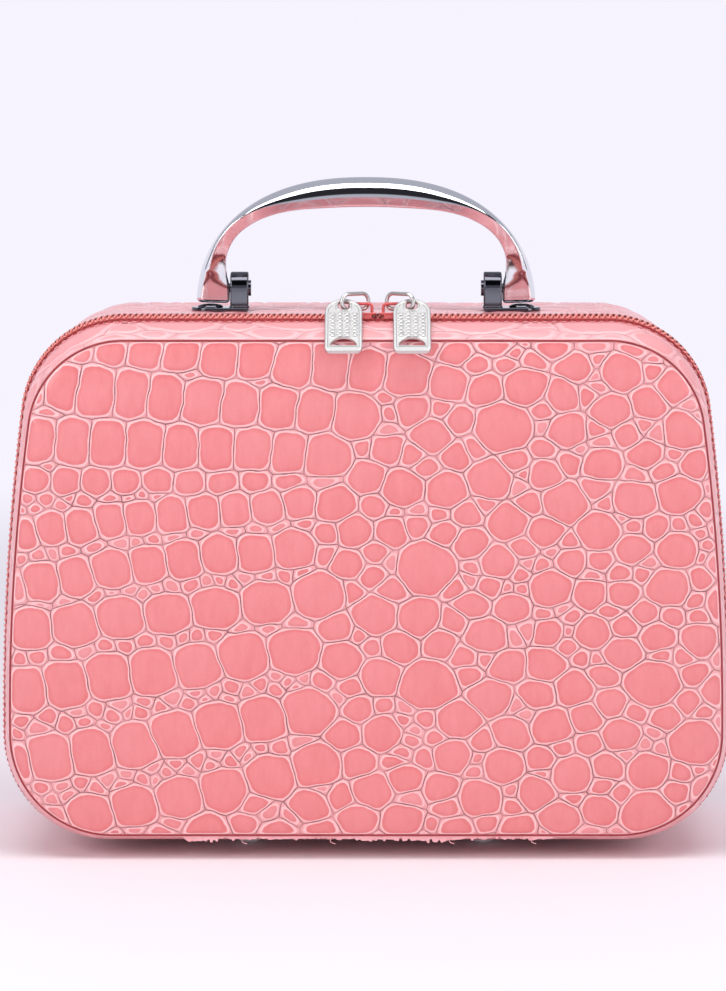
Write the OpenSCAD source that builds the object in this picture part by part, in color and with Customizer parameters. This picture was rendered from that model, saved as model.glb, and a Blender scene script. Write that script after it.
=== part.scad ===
// Makeup train case: a stiffened leathercloth box that stands on four studs. Its front lid is zipped
// round the top and sides and falls open on a soft hinge along the bottom edge. A chrome bail
// handle folds on two brackets on the top.
// Frame: +X to the viewer's right, +Y to the back, +Z up. The origin is on the ground under the
// middle of the case. Lengths are in millimetres.

/* [Case] */
// Largest width of the case, across the zip
case_w = 235; // [200:1:280]
// Height of the case from its underside to its top
case_h = 170; // [150:1:205]
// Depth of the case from the zip to the back panel
body_d = 78; // [60:1:100]
// Radius of the bottom corners
bottom_r = 34; // [24:1:40]
// Radius of the top corners
top_r = 33; // [24:1:40]
// Radius of the bow of the two sides, which draws the top in
side_bow_r = 800; // [500:10:1200]
// Rounding where the walls turn into the back panel
back_round = 2.5; // [1:0.1:4]
// Height of the ground studs
foot_h = 4.5; // [3:0.1:7]

/* [Lid] */
// Depth of the lid from the zip to its front panel
lid_d = 14; // [12:0.5:20]
// How far the front panel's top edge lies below the zip's
lid_top_drop = 6; // [3:0.5:8]
// How far the front panel's sides lie inside the zip's
lid_side_inset = 2.5; // [1:0.5:4]
// How far the front panel's bottom edge lies above the zip's
lid_bottom_inset = 3.2; // [2:0.1:4]
// How far the front panel swells out in its middle
panel_crown = 1.2; // [0.6:0.1:2]

/* [Walls] */
// Thickness of the leathercloth with its foam
leather_t = 1.0; // [0.7:0.1:1.4]
// Thickness of the stiffening board
board_t = 1.4; // [1:0.1:2]
// Thickness of the lining cloth
lining_t = 0.6; // [0.4:0.1:0.9]
// Clearance between sewn layers
layer_gap = 0.05; // [0.02:0.01:0.1]

/* [Zip] */
// Half width of the closed chain of coils
coil_half_w = 2.9; // [2.4:0.1:3.5]
// Thickness of one coil
coil_t = 1.7; // [1.4:0.1:2.2]
// Half of the slot between the two rows of coils
chain_gap = 0.75; // [0.6:0.05:1]
// Width of one tape, from the middle of the chain
tape_w = 10; // [8:0.5:12]
// Thickness of the tapes
tape_t = 0.5; // [0.4:0.1:0.7]
// Distance from the chain's middle to the leathercloth's edge
zip_window = 4.4; // [4.2:0.1:6]

/* [Sliders] */
// Place along X where the two closed sliders meet
meet_x = 3.7; // [-10:0.1:10]
// Space between the two closed sliders
meet_gap = 0.8; // [0.6:0.1:8]
// Length of a slider along the chain
slider_l = 10; // [8:0.5:12]
// Half width of a slider
slider_half_w = 3.9; // [3.4:0.1:4.2]
// Thickness of a slider's plates
slider_plate_t = 1.0; // [0.8:0.1:1.3]
// Clearance between a slider and what it runs on
slide_gap = 0.2; // [0.15:0.05:0.35]
// Wire radius of a pull ring
ring_wire_r = 0.65; // [0.5:0.05:0.8]
// Radius of a pull ring's round ends, to the middle of the wire
ring_end_r = 2.5; // [2.3:0.1:3.2]
// Length of a pull ring's straight sides
ring_straight = 5.4; // [4.4:0.1:6.4]
// How far a pull ring's middle lies out from its slider's middle
ring_shift = 2.2; // [1.8:0.1:3]
// Turn of a pull ring from the line of the chain, in degrees
ring_turn = 35; // [25:1:45]
// Width of a pull tab
tab_w = 12; // [10:0.5:14]
// Length of a pull tab
tab_l = 24; // [18:0.5:28]
// Thickness of a pull tab
tab_t = 1.4; // [1:0.1:1.6]
// Width and height of the eye that a pull tab hangs by
tab_eye = 3.7; // [3.4:0.1:4]
// Metal round a pull tab's eye
tab_bar = 1.2; // [1:0.1:1.6]
// Space between a hanging pull tab and the lid's edge
tab_gap = 0.6; // [0.4:0.05:1]

/* [Handle] */
// Width over the handle
handle_w = 112; // [96:1:130]
// Height of the handle above its pivot
handle_rise = 36.6; // [28:0.1:38]
// Distance of the handle behind the zip
handle_inset = 32; // [30:1:42]
// Width of a handle foot along the pivot
handle_foot_w = 11; // [9:0.1:13]
// How square the handle's bow is: 2 is an ellipse
bow_power = 2.3; // [2:0.05:2.6]
// Depth of the grip from front to back
grip_depth = 13; // [10:0.5:15]
// Thickness of the grip in its middle
grip_t = 9.6; // [7:0.1:10]
// Thickness of the handle at its shoulders
shoulder_t = 6; // [5:0.1:7]
// Radius of a handle foot round the pivot
foot_r = 4.6; // [4:0.1:5]
// Height of the pivot above the case
pivot_h = 7.5; // [7.4:0.1:9]
// Radius of the pivot pins
pin_r = 1.5; // [1.2:0.1:1.8]
// Running clearance of the pivot pins
pin_gap = 0.05; // [0.02:0.01:0.09]
// Length of a pivot pin inside the handle
pin_l = 7; // [5:0.1:8]
// Space between a handle foot and its bracket
foot_gap = 0.3; // [0.2:0.05:0.5]

/* [Brackets] */
// Width of a bracket's upright lug
lug_w = 6; // [5:0.1:7]
// Height of a bracket's upright lug
lug_h = 13; // [12:0.1:15]
// Depth of a bracket from front to back
bracket_depth = 12; // [10:0.5:14]
// Thickness of a bracket's foot plate
plate_t = 1.3; // [1:0.1:1.5]
// Radius of a rivet's domed head
rivet_head_r = 4.2; // [3:0.1:4.5]
// Height of a rivet's domed head
rivet_head_h = 1.2; // [1:0.1:1.4]
// Radius of the rivets' and the studs' shanks
shank_r = 1.3; // [1:0.1:1.6]
// Clearance of a shank in its hole
shank_gap = 0.05; // [0.02:0.01:0.1]

/* [Studs] */
// Radius of a ground stud
stud_r = 5; // [4:0.1:7]
// Radius of the flat that a stud stands on
stud_flat_r = 2.2; // [1.5:0.1:3]
// Distance of the studs from the middle, along X
stud_x = 38.5; // [30:0.5:70]
// Distance of the studs from the zip and from the back panel
stud_inset = 13; // [12:1:20]

/* [Inside] */
// Width of the mirror
mirror_w = 120; // [90:1:140]
// Height of the mirror
mirror_h = 86; // [60:1:100]
// Thickness of the mirror
mirror_t = 1.5; // [1.2:0.1:2]
// Width of the border that holds the mirror
mirror_border = 9; // [6:0.5:12]
// Number of elastic loops on the back wall
loop_count = 5; // [3:1:6]
// Distance from one elastic loop to the next
loop_pitch = 26; // [22:1:30]
// How far an elastic loop stands off the wall
loop_rise = 9; // [7:0.5:12]
// Height of the elastic
elastic_h = 24; // [16:1:32]
// Height of the elastic's lower edge above the ground
elastic_z = 66; // [40:1:100]
// Thickness of the elastic
elastic_t = 1.0; // [0.8:0.1:1.4]

/* [Hidden] */

// Colours
pink = [0.93, 0.52, 0.55];
pale_pink = [0.96, 0.70, 0.73];
lining_colour = [0.86, 0.48, 0.52];
card = [0.72, 0.64, 0.52];
chrome = [0.78, 0.79, 0.82];
nickel = [0.84, 0.84, 0.82];

// Steps of an outline's straight and round stretches, on one half of the case
flat_steps = 3;
corner_steps = 10;
side_steps = 8;
round_fn = 48;

// Heights and depths of the case
base_z = foot_h;
top_z = base_z + case_h;
wall_t = leather_t + layer_gap + board_t + layer_gap + lining_t;
panel_face = lid_d + panel_crown;
crown_turn = 6; // the front panel turns over between its edge and here
crown_flat = 16; // and is flat inside here

// Layers, as depths below the outer surface
board_in = leather_t + layer_gap;
board_out = board_in + board_t;
lining_in = board_out + layer_gap;
seam_gap = 0.1; // between a panel and the gusset that it is sewn to
tape_in = leather_t + layer_gap;
tape_out = tape_in + tape_t;
coil_in = tape_in - layer_gap;
coil_out = coil_t - coil_in; // how far a coil stands above the outer surface
lining_margin = 0.7; // from a slider's side to the lining's edge
window_in = slider_half_w + 2 * slide_gap + lining_margin; // the lining stops this far from the zip
board_edge = tape_w + layer_gap; // and the board this far

// A slider's plates, as heights above the case's top
slider_top_z = coil_out + slide_gap;
swing_room = 0.1; // more room under the tapes, for the lid's swing
slider_under_z = -tape_out - slide_gap - swing_room - slider_plate_t;
slider_x = [meet_x - (meet_gap + slider_l) / 2, meet_x + (meet_gap + slider_l) / 2];
bridge_w = 1.2;
bridge_end = 0.9; // from a slider's end to its bridge
bridge_span = slider_l - 2 * bridge_end; // over the bridge's two posts
bridge_post = 1.0;
ring_play = 0.8; // play of a pull ring's wire under its bridge
bridge_room = 2 * ring_wire_r + ring_play; // height of the tunnel under the bridge
sink = 0.1; // how far one block of a slider runs into the next

// A pull ring stands on its slider's top plate, under the bridge; a tab hangs on its lower outer bend
ring_z = top_z + slider_top_z + slider_plate_t + ring_wire_r + slide_gap;
link_angle = 35; // below the ring's level
link_out = ring_shift + ring_straight / 2 + ring_end_r * cos(link_angle);
link_y = -link_out * sin(ring_turn);
link_x = link_out * cos(ring_turn);
eye_shift = 0.2; // the eye's middle lies this far inside the wire's, clear of the wire's bend
link_z = ring_z + ring_end_r * (1 - sin(link_angle));
tab_drop = link_z - (top_z - lid_top_drop); // from the eye down to the front panel's upper edge
tab_lean = lean_over(lid_d + tab_gap + link_y, tab_drop, tab_t / 2);
tab_head = tab_eye / 2 + tab_bar; // from the eye's middle to the tab's upper edge
tab_reach = -link_y + (tab_l - tab_head) * sin(tab_lean) + tab_t / 2 * cos(tab_lean);
zip_y = (tab_reach - body_d) / 2; // sets the bounding box's middle on Y = 0

// Angle from the vertical of a slab, half_t thick on each side of a line through the eye, that
// rests on an edge that lies out in front of the eye and down below it
function lean_over(out, down, half_t) = atan2(out, down) + asin(half_t / norm([out, down]));

// Handle and brackets
handle_y = zip_y + handle_inset;
pivot_z = top_z + pivot_h;
foot_in = handle_w / 2 - handle_foot_w;
lug_out = foot_in - foot_gap;
lug_in = lug_out - lug_w;
rivet_in = 0.4; // a rivet's head lies this far inside the handle's end
rivet_x = handle_w / 2 - rivet_head_r - rivet_in;
plate_round = 0.2; // how far a bracket's round end stands out past its sides
plate_r = bracket_depth / 2 + plate_round;
backing_t = 1.0;
washer_t = 0.5;
washer_r = 4;
peen_r = 2.0;
peen_t = 0.6;
stud_places = [for (x = [-stud_x, stud_x], y = [zip_y + stud_inset, zip_y + body_d - stud_inset]) [x, y]];

// Inside
mirror_z = (base_z + lid_bottom_inset + top_z - lid_top_drop) / 2;
mirror_y = zip_y - lid_d + wall_t + layer_gap;
frame_lip = 2; // how far the border covers the mirror
frame_lip_t = 0.7;
mirror_corner = 6;
frame_corner = 10;
lip_corner = 4;
loop_flat = 6; // the sewn flat between two elastic loops
elastic_y = zip_y + body_d - wall_t - layer_gap;

// ---- Outlines ----

// Half an outline, from the middle of the bottom to the middle of the top: w is half its width,
// z0 and z1 its bottom and top, rb and rt its corner radii and rs the radius of its bowed side
function half_outline(w, z0, z1, rb, rt, rs) =
    let (lean = asin((z1 - z0 - rb - rt) / (rs - rt)), cx = w - rs + (rs - rt) * cos(lean))
    concat(
        [for (i = [0:flat_steps - 1]) [(w - rb) * i / flat_steps, z0]],
        [for (i = [0:corner_steps - 1]) let (a = -90 + 90 * i / corner_steps)
            [w - rb + rb * cos(a), z0 + rb + rb * sin(a)]],
        [for (i = [0:side_steps - 1]) let (a = lean * i / side_steps)
            [w - rs + rs * cos(a), z0 + rb + rs * sin(a)]],
        [for (i = [0:corner_steps - 1]) let (a = lean + (90 - lean) * i / corner_steps)
            [cx + rt * cos(a), z1 - rt + rt * sin(a)]],
        [for (i = [0:flat_steps]) [cx * (1 - i / flat_steps), z1]]);

function whole_outline(half) =
    let (n = len(half))
    concat(half, [for (i = [n - 2:-1:1]) [-half[i][0], half[i][1]]]);

// How far the lid has drawn in at y, from 0 at the edge of the zip to 1 at its front panel
function draw_in(y) =
    let (f = min(1, max(0, (-y - zip_window) / (lid_d - zip_window)))) f * (1 + f) / 2;

// How far the back edge has rounded in at y
round_l = 3 * back_round; // length of the rounded stretch
function round_in(y) = back_round * pow(max(0, y - body_d + round_l) / round_l, 2);

// The case's outline at y from the zip, t below its outer surface
function ring_at(y, t) =
    let (f = draw_in(y), r = round_in(y) + t)
    whole_outline(half_outline(
        case_w / 2 - lid_side_inset * f - r, base_z + lid_bottom_inset * f + r,
        top_z - lid_top_drop * f - r, bottom_r - r - f, top_r - r - 2 * f,
        side_bow_r - r - 80 * f));

ring_count = len(ring_at(0, 0));
zip_start = flat_steps + round(corner_steps / 2); // the chain ends half way round a bottom corner

// A rectangle with round corners, about the origin
function round_rect(w, h, r) = [for (q = [0:3], i = [0:6])
    let (a = 90 * q + 15 * i, sx = q == 0 || q == 3 ? 1 : -1, sz = q < 2 ? 1 : -1)
    [sx * (w / 2 - r) + r * cos(a), sz * (h / 2 - r) + r * sin(a)]];

// ---- Lofted solids ----

// Points of the rings at a list of [y, depth], from one place round the outline to another
function loft_points(section, from, to) = [for (s = section)
    let (r = ring_at(s[0], s[1]))
    for (i = [from:to]) [r[i % ring_count][0], zip_y + s[0], r[i % ring_count][1]]];

function wrap_faces(n, rows, closed_rows) = [
    for (j = [0:rows - (closed_rows ? 1 : 2)], i = [0:n - 1])
    let (a = j * n + i, b = j * n + (i + 1) % n, c = ((j + 1) % rows) * n + i,
        d = ((j + 1) % rows) * n + (i + 1) % n)
    each [[a, b, c], [b, d, c]]];

// A closed band whose cross-section is a list of [y, depth], run right round the case
module band(section) {
    polyhedron(loft_points(section, 0, ring_count - 1), wrap_faces(ring_count, len(section), true));
}

function middle(v) = [for (p = v) 1] * v / len(v);

// The same band over part of the way round, with an end fanned out from its middle at each end
module open_band(section, from, to) {
    n = to - from + 1;
    m = len(section);
    points = loft_points(section, from, to);
    ends = [for (e = [0, n - 1]) middle([for (j = [0:m - 1]) points[j * n + e]])];
    polyhedron(concat(points, ends), concat(
        [for (j = [0:m - 1], i = [0:n - 2])
            let (a = j * n + i, c = ((j + 1) % m) * n + i)
            each [[a, a + 1, c], [a + 1, c + 1, c]]],
        [for (j = [0:m - 1]) let (a = j * n, c = ((j + 1) % m) * n)
            each [[a, c, m * n], [c + n - 1, a + n - 1, m * n + 1]]]));
}

// A solid stacked from rings at a list of [y, depth], with a flat cap fanned out at each end
module stack(section) {
    n = ring_count;
    last = (len(section) - 1) * n;
    points = loft_points(section, 0, n - 1);
    caps = [for (first = [0, last]) middle([for (i = [0:n - 1]) points[first + i]])];
    polyhedron(concat(points, caps), concat(wrap_faces(n, len(section), false),
        [for (i = [0:n - 1]) let (b = (i + 1) % n)
            each [[b, i, last + n], [last + i, last + b, last + n + 1]]]));
}

function reverse(v) = [for (i = [len(v) - 1:-1:0]) v[i]];

// Stations of a skin at depth t, from y0 near the zip to y1 at the front or back panel
lid_stations = [0.25, 0.5, 0.75];
round_stations = [0, 0.35, 0.7, 0.9];
function lid_skin(y0, y1, t) = concat([[y0, t]], [for (f = lid_stations)
    let (y = -zip_window - (lid_d - zip_window) * f) if (y < y0 - 0.5 && y > y1 + 0.5) [y, t]], [[y1, t]]);
function body_skin(y0, y1, t) = concat([[y0, t]], [for (f = round_stations)
    let (y = body_d - round_l * (1 - f)) if (y > y0 + 0.5 && y < y1 - 0.4) [y, t]], [[y1, t]]);

// Holes for the brackets' rivets and the studs, through every layer of the body's wall
module shank_holes() {
    deep = 2 * wall_t;
    for (side = [-1, 1]) translate([side * rivet_x, handle_y, top_z - deep])
        cylinder(h = 2 * deep, r = shank_r + shank_gap, $fn = round_fn);
    for (p = stud_places) translate([p[0], p[1], base_z - deep])
        cylinder(h = 2 * deep, r = shank_r + shank_gap, $fn = round_fn);
}

// ---- Body ----

module back_panel() color(pink)
    stack([[body_d - leather_t, leather_t + 2 * seam_gap], [body_d - leather_t / 2, leather_t + seam_gap],
        [body_d, leather_t + 4 * seam_gap]]);

module body_gusset() color(pink)
    difference() {
        band(concat(
            body_skin(zip_window, body_d - 2 * seam_gap, 0),
            reverse(body_skin(zip_window, body_d - 2 * seam_gap, leather_t))));
        shank_holes();
    }

module body_board() color(card)
    difference() {
        stack(concat(
            reverse(body_skin(board_edge, body_d - board_out, board_out)),
            body_skin(board_edge, body_d - board_in, board_in)));
        shank_holes();
    }

module body_lining() color(lining_colour)
    difference() {
        stack(concat(
            reverse(body_skin(window_in, body_d - wall_t, wall_t)),
            body_skin(window_in, body_d - lining_in, lining_in)));
        shank_holes();
    }

// The strip of leathercloth that joins the lid to the body along the bottom
module hinge_strip() color(pink) {
    edge = zip_window - 2 * seam_gap;
    section = [[-edge, leather_t], [-edge, 0], [0, 0], [edge, 0], [edge, leather_t], [0, leather_t]];
    open_band(section, ring_count - zip_start, ring_count + zip_start);
}

// ---- Zip: side is 1 for the body's half and -1 for the lid's ----

module zip_tape(side) color(pale_pink) {
    section = [[side * chain_gap, tape_in], [side * chain_gap, tape_out], [side * zip_window, tape_out],
        [side * tape_w, tape_out], [side * tape_w, tape_in], [side * zip_window, tape_in]];
    open_band(side > 0 ? reverse(section) : section, zip_start, ring_count - zip_start);
}

module zip_coil(side) color(pink) {
    bevel = 0.7;
    section = [[side * chain_gap, -coil_out], [side * chain_gap, coil_in], [side * coil_half_w, coil_in],
        [side * coil_half_w, -coil_out + bevel], [side * (coil_half_w - bevel), -coil_out]];
    open_band(side > 0 ? reverse(section) : section, zip_start, ring_count - zip_start);
}

// ---- Lid ----

module lid_front_panel() color(pink)
    stack([[-panel_face, crown_flat], [-lid_d - panel_crown * 0.7, crown_turn],
        [-lid_d, leather_t + seam_gap], [-lid_d + leather_t, leather_t + seam_gap]]);

module lid_gusset() color(pink)
    band(concat(
        lid_skin(-zip_window, -lid_d + seam_gap, leather_t),
        reverse(lid_skin(-zip_window, -lid_d + seam_gap, 0))));

module lid_board() color(card)
    stack(concat(
        reverse(lid_skin(-board_edge, -lid_d + board_in, board_in)),
        lid_skin(-board_edge, -lid_d + board_out, board_out)));

module lid_lining() color(lining_colour)
    stack(concat(
        reverse(lid_skin(-window_in, -lid_d + lining_in, lining_in)),
        lid_skin(-window_in, -lid_d + wall_t, wall_t)));

// A flat plate in the plane of the lid, its outline a list of [x, z], from y to y + t
module lid_plate(outline, y, t) {
    translate([0, y + t, mirror_z]) rotate([90, 0, 0]) linear_extrude(t) polygon(outline);
}

module mirror() color([0.8, 0.85, 0.9])
    lid_plate(round_rect(mirror_w, mirror_h, mirror_corner), mirror_y, mirror_t);

module mirror_frame() color(lining_colour)
    difference() {
        lid_plate(round_rect(mirror_w + 2 * mirror_border, mirror_h + 2 * mirror_border, frame_corner),
            mirror_y, mirror_t + layer_gap + frame_lip_t);
        lid_plate(round_rect(mirror_w + 2 * layer_gap, mirror_h + 2 * layer_gap, mirror_corner),
            mirror_y - 1, mirror_t + layer_gap + 1);
        lid_plate(round_rect(mirror_w - 2 * frame_lip, mirror_h - 2 * frame_lip, lip_corner), mirror_y - 1,
            2 * mirror_t + frame_lip_t + 2);
    }

// ---- Elastic loops ----

// Rise of the elastic at u, from 0 to 1 across one loop, and its slope in x
function loop_y(u) = loop_rise * pow(sin(180 * u), 2);
function loop_slope(u) = loop_rise * PI * sin(360 * u) / (loop_pitch - loop_flat);

module elastic_loops() color(lining_colour) {
    steps = 12;
    span = loop_count * loop_pitch + loop_flat;
    chord = loop_pitch - loop_flat;
    places = concat([[-span / 2, 0, 0]], [for (k = [0:loop_count - 1], i = [0:steps])
        let (u = i / steps, x0 = -span / 2 + loop_flat + k * loop_pitch)
        [x0 + u * chord, loop_y(u), loop_slope(u)]], [[span / 2, 0, 0]]);
    inner = [for (p = places) [p[0], elastic_y - p[1]]];
    outer = [for (p = places) [p[0], elastic_y - p[1] - elastic_t * sqrt(1 + p[2] * p[2])]];
    translate([0, 0, elastic_z]) linear_extrude(elastic_h) polygon(concat(outer, reverse(inner)));
}

// ---- Studs ----

module ground_studs() color(chrome) {
    steps = 6;
    rim = 0.8; // height of a stud's upright rim
    shank_top = foot_h + wall_t + washer_t + 2 * layer_gap;
    dome = [for (i = [0:steps]) let (a = 90 * i / steps)
        [stud_flat_r + (stud_r - stud_flat_r) * sin(a), (foot_h - rim) * (1 - cos(a))]];
    for (p = stud_places) translate([p[0], p[1], 0]) rotate_extrude($fn = round_fn)
        polygon(concat([[0, 0]], dome, [[stud_r, foot_h], [shank_r, foot_h], [shank_r, shank_top],
            [peen_r, shank_top], [peen_r, shank_top + peen_t], [0, shank_top + peen_t]]));
}

module stud_washers() color(nickel)
    for (p = stud_places) translate([p[0], p[1], base_z + wall_t + layer_gap]) difference() {
        cylinder(h = washer_t, r = washer_r, $fn = round_fn);
        translate([0, 0, -1]) cylinder(h = washer_t + 2, r = shank_r + shank_gap, $fn = round_fn);
    }

// ---- Handle brackets: side is -1 on the left and 1 on the right ----

module x_cylinder(x0, x1, y, z, r) {
    translate([min(x0, x1), y, z]) rotate([0, 90, 0]) cylinder(h = abs(x1 - x0), r = r, $fn = round_fn);
}

module x_block(side, x0, x1, y, depth, z, h) {
    translate([side > 0 ? x0 : -x1, y - depth / 2, z]) cube([x1 - x0, depth, h]);
}

module bracket(side) color(chrome) {
    lug_depth = bracket_depth - 2;
    lug_round = lug_depth / 2 + 0.2;
    difference() {
        union() {
            x_block(side, lug_in, rivet_x, handle_y, bracket_depth, top_z, plate_t);
            translate([side * rivet_x, handle_y, top_z]) cylinder(h = plate_t, r = plate_r, $fn = round_fn);
            x_block(side, lug_in, lug_out, handle_y, lug_depth, top_z, lug_h - lug_round);
            x_cylinder(side * lug_in, side * lug_out, handle_y, top_z + lug_h - lug_round, lug_round);
        }
        x_cylinder(side * (lug_in - 1), side * (lug_out + 1), handle_y, pivot_z, pin_r);
        translate([side * rivet_x, handle_y, top_z - 1])
            cylinder(h = plate_t + 2, r = shank_r + shank_gap, $fn = round_fn);
    }
}

module bracket_rivets() color(chrome) {
    steps = 5;
    tail_z = top_z - wall_t - 2 * layer_gap - backing_t;
    head_z = top_z + plate_t;
    dome = [for (i = [0:steps]) let (a = 90 * i / steps)
        [rivet_head_r * cos(a), head_z + 0.2 + (rivet_head_h - 0.2) * sin(a)]];
    for (side = [-1, 1]) translate([side * rivet_x, handle_y, 0]) rotate_extrude($fn = round_fn)
        polygon(concat([[0, tail_z - peen_t], [peen_r, tail_z - peen_t], [peen_r, tail_z], [shank_r, tail_z],
            [shank_r, head_z], [rivet_head_r, head_z]], dome));
}

module backing_plates() color(nickel)
    for (side = [-1, 1]) difference() {
        x_block(side, lug_in, rivet_x + plate_r, handle_y, bracket_depth,
            top_z - wall_t - layer_gap - backing_t, backing_t);
        translate([side * rivet_x, handle_y, top_z - 2 * wall_t])
            cylinder(h = 2 * wall_t, r = shank_r + shank_gap, $fn = round_fn);
    }

// Each pin is pressed into its lug, with a low head on the inner side, and runs in a handle foot
module pivot_pins() color(chrome)
    for (side = [-1, 1]) {
        x_cylinder(side * lug_in, side * (foot_in + pin_l), handle_y, pivot_z, pin_r);
        x_cylinder(side * (lug_in - 0.8), side * lug_in, handle_y, pivot_z, pin_r + 1.1);
    }

// ---- Handle ----

bow_h = pivot_h + handle_rise;
bow_steps = 36;
section_steps = 16;
bow_start = acos(pow(pow(1 - pow(pivot_h / bow_h, bow_power), 1 / bow_power), bow_power / 2));

// Outer line of the bow at angle a, from the right foot to the left one, over the case's top
function bow_out(a) = [
    handle_w / 2 * sign(cos(a)) * pow(abs(cos(a)), 2 / bow_power), bow_h * pow(sin(a), 2 / bow_power)];
function bow_normal(a) = let (d = bow_out(a + 0.5) - bow_out(a - 0.5)) [d[1], -d[0]] / norm(d);

// Smooth step from 0 at e0 to 1 at e1
function smooth(e0, e1, v) = let (f = min(1, max(0, (v - e0) / (e1 - e0)))) f * f * (3 - 2 * f);

// Thickness and depth of the bow where its outer line is x from the middle
leg_depth = 2 * foot_r - 0.6;
leg_t = handle_foot_w - 1.2;
grip_half = 10; // the grip keeps its size this far from the middle
shoulder_in = 22; // and is thinnest this far from the handle's ends
leg_l = 20; // a leg thickens over this width, up to its foot
leg_end = 0.8;
function bow_t(x) = shoulder_t
    + (grip_t - shoulder_t) * (1 - smooth(grip_half, handle_w / 2 - shoulder_in, abs(x)))
    + (leg_t - shoulder_t) * pow(max(0, abs(x) - handle_w / 2 + leg_l) / (leg_l - leg_end), 4);
function bow_depth(x) = leg_depth
    + (grip_depth - leg_depth) * (1 - smooth(grip_half, handle_w / 2 - 4, abs(x)));

// One cross-section: a rounded box in the plane of the bow's normal and Y
function bow_section(a) =
    let (o = bow_out(a), n = bow_normal(a), t = bow_t(o[0]), d = bow_depth(o[0]), m = o - n * t / 2, p = 0.7)
    [for (i = [0:section_steps - 1])
        let (b = 360 * (i + 0.5) / section_steps, u = sign(cos(b)) * pow(abs(cos(b)), p) * t / 2,
            v = sign(sin(b)) * pow(abs(sin(b)), p) * d / 2)
        [m[0] + n[0] * u, handle_y + v, top_z + m[1] + n[1] * u]];

module bow() {
    points = [for (j = [0:bow_steps]) each bow_section(bow_start + (180 - 2 * bow_start) * j / bow_steps)];
    n = section_steps;
    polyhedron(points, concat([for (f = wrap_faces(n, bow_steps + 1, false)) reverse(f)],
        [[for (i = [0:n - 1]) i], [for (i = [n - 1:-1:0]) bow_steps * n + i]]));
}

module handle() color(chrome)
    difference() {
        union() {
            bow();
            for (side = [-1, 1]) x_cylinder(side * foot_in, side * handle_w / 2, handle_y, pivot_z, foot_r);
        }
        for (side = [-1, 1])
            x_cylinder(side * (foot_in - 1), side * (foot_in + pin_l + 1), handle_y, pivot_z,
                pin_r + pin_gap);
    }

// ---- Sliders, pull rings and pull tabs: side is -1 on the left and 1 on the right ----

// Outline of a slider's plate, narrower at its tail, which points away from the other slider
function slider_outline(side) = let (l = slider_l / 2, w = slider_half_w, tail = slider_half_w - 0.9)
    [for (p = [[-l, w - 1.2], [-l + 1.2, w], [0, w], [l - 1, tail], [l, tail - 1], [l, 1 - tail],
        [l - 1, -tail], [0, -w], [-l + 1.2, -w], [-l, 1.2 - w]]) [side * p[0], p[1]]];

module slider(side) color(pink) {
    x = slider_x[side > 0 ? 1 : 0];
    post_y = chain_gap - slide_gap;
    post_l = 2;
    post_in = 0.3; // from the slider's nose to the divider
    lip_y = coil_half_w + slide_gap;
    lip_low = -tape_in + slide_gap;
    lip_in = [1.5, 3]; // from the slider's two ends to the lip
    nose = slider_l / 2;
    bridge_z = slider_top_z + slider_plate_t - sink;
    translate([x, zip_y, top_z]) {
        translate([0, 0, slider_top_z]) linear_extrude(slider_plate_t) polygon(slider_outline(side));
        translate([0, 0, slider_under_z]) linear_extrude(slider_plate_t) polygon(slider_outline(side));
        // The divider between the two rows of coils joins the plates
        translate([side > 0 ? -nose + post_in : nose - post_in - post_l, -post_y, slider_under_z + sink])
            cube([post_l, 2 * post_y, slider_top_z - slider_under_z]);
        // The lip beside the lid's row of coils
        translate([-nose + lip_in[0], -slider_half_w + sink, lip_low])
            cube([slider_l - lip_in[0] - lip_in[1], slider_half_w - lip_y - sink,
                slider_top_z - lip_low + sink]);
        // The bridge that holds the pull ring
        for (end = [-bridge_span / 2, bridge_span / 2 - bridge_post])
            translate([end, -bridge_w / 2, bridge_z]) cube([bridge_post, bridge_w, bridge_room + 2 * sink]);
        translate([-bridge_span / 2, -bridge_w / 2, bridge_z + bridge_room + sink])
            cube([bridge_span, bridge_w, bridge_post]);
    }
}

// The ring's middle line, in its own plane, as [along, up] from the wire under the bridge
ring_arc_steps = 8;
function ring_line() = [for (e = [0, 1], i = [0:ring_arc_steps])
    let (a = -90 + 180 * e + 180 * i / ring_arc_steps)
    [ring_shift + (e == 0 ? 1 : -1) * ring_straight / 2 + ring_end_r * cos(a),
        ring_end_r + ring_end_r * sin(a)]];

module pull_ring(side) color(nickel) {
    wire_steps = 10;
    line = ring_line();
    m = len(line);
    points = [for (j = [0:m - 1])
        let (p = line[j], d = line[(j + 1) % m] - line[(j + m - 1) % m], n = [d[1], -d[0]] / norm(d))
        for (i = [0:wire_steps - 1]) let (a = 360 * i / wire_steps)
            [p[0] + n[0] * ring_wire_r * cos(a), ring_wire_r * sin(a), p[1] + n[1] * ring_wire_r * cos(a)]];
    translate([slider_x[side > 0 ? 1 : 0], zip_y, ring_z])
        rotate([0, 0, side > 0 ? -ring_turn : 180 + ring_turn])
        polyhedron(points, [for (f = wrap_faces(wire_steps, m, true)) reverse(f)]);
}

// Outline of a tab in its own plane, [x, y] from the eye's middle, with its round head up
function tab_outline() = let (r = tab_w / 2, top = tab_head, low = tab_head - tab_l, c = 2)
    concat([for (i = [0:12]) let (a = 15 * i) [r * cos(a), top - r + r * sin(a)]],
        [for (q = [2, 3], i = [0:4]) let (a = 90 * q + 22.5 * i, sx = q == 2 ? -1 : 1)
            [sx * (r - c) + c * cos(a), low + c + c * sin(a)]]);

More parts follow.
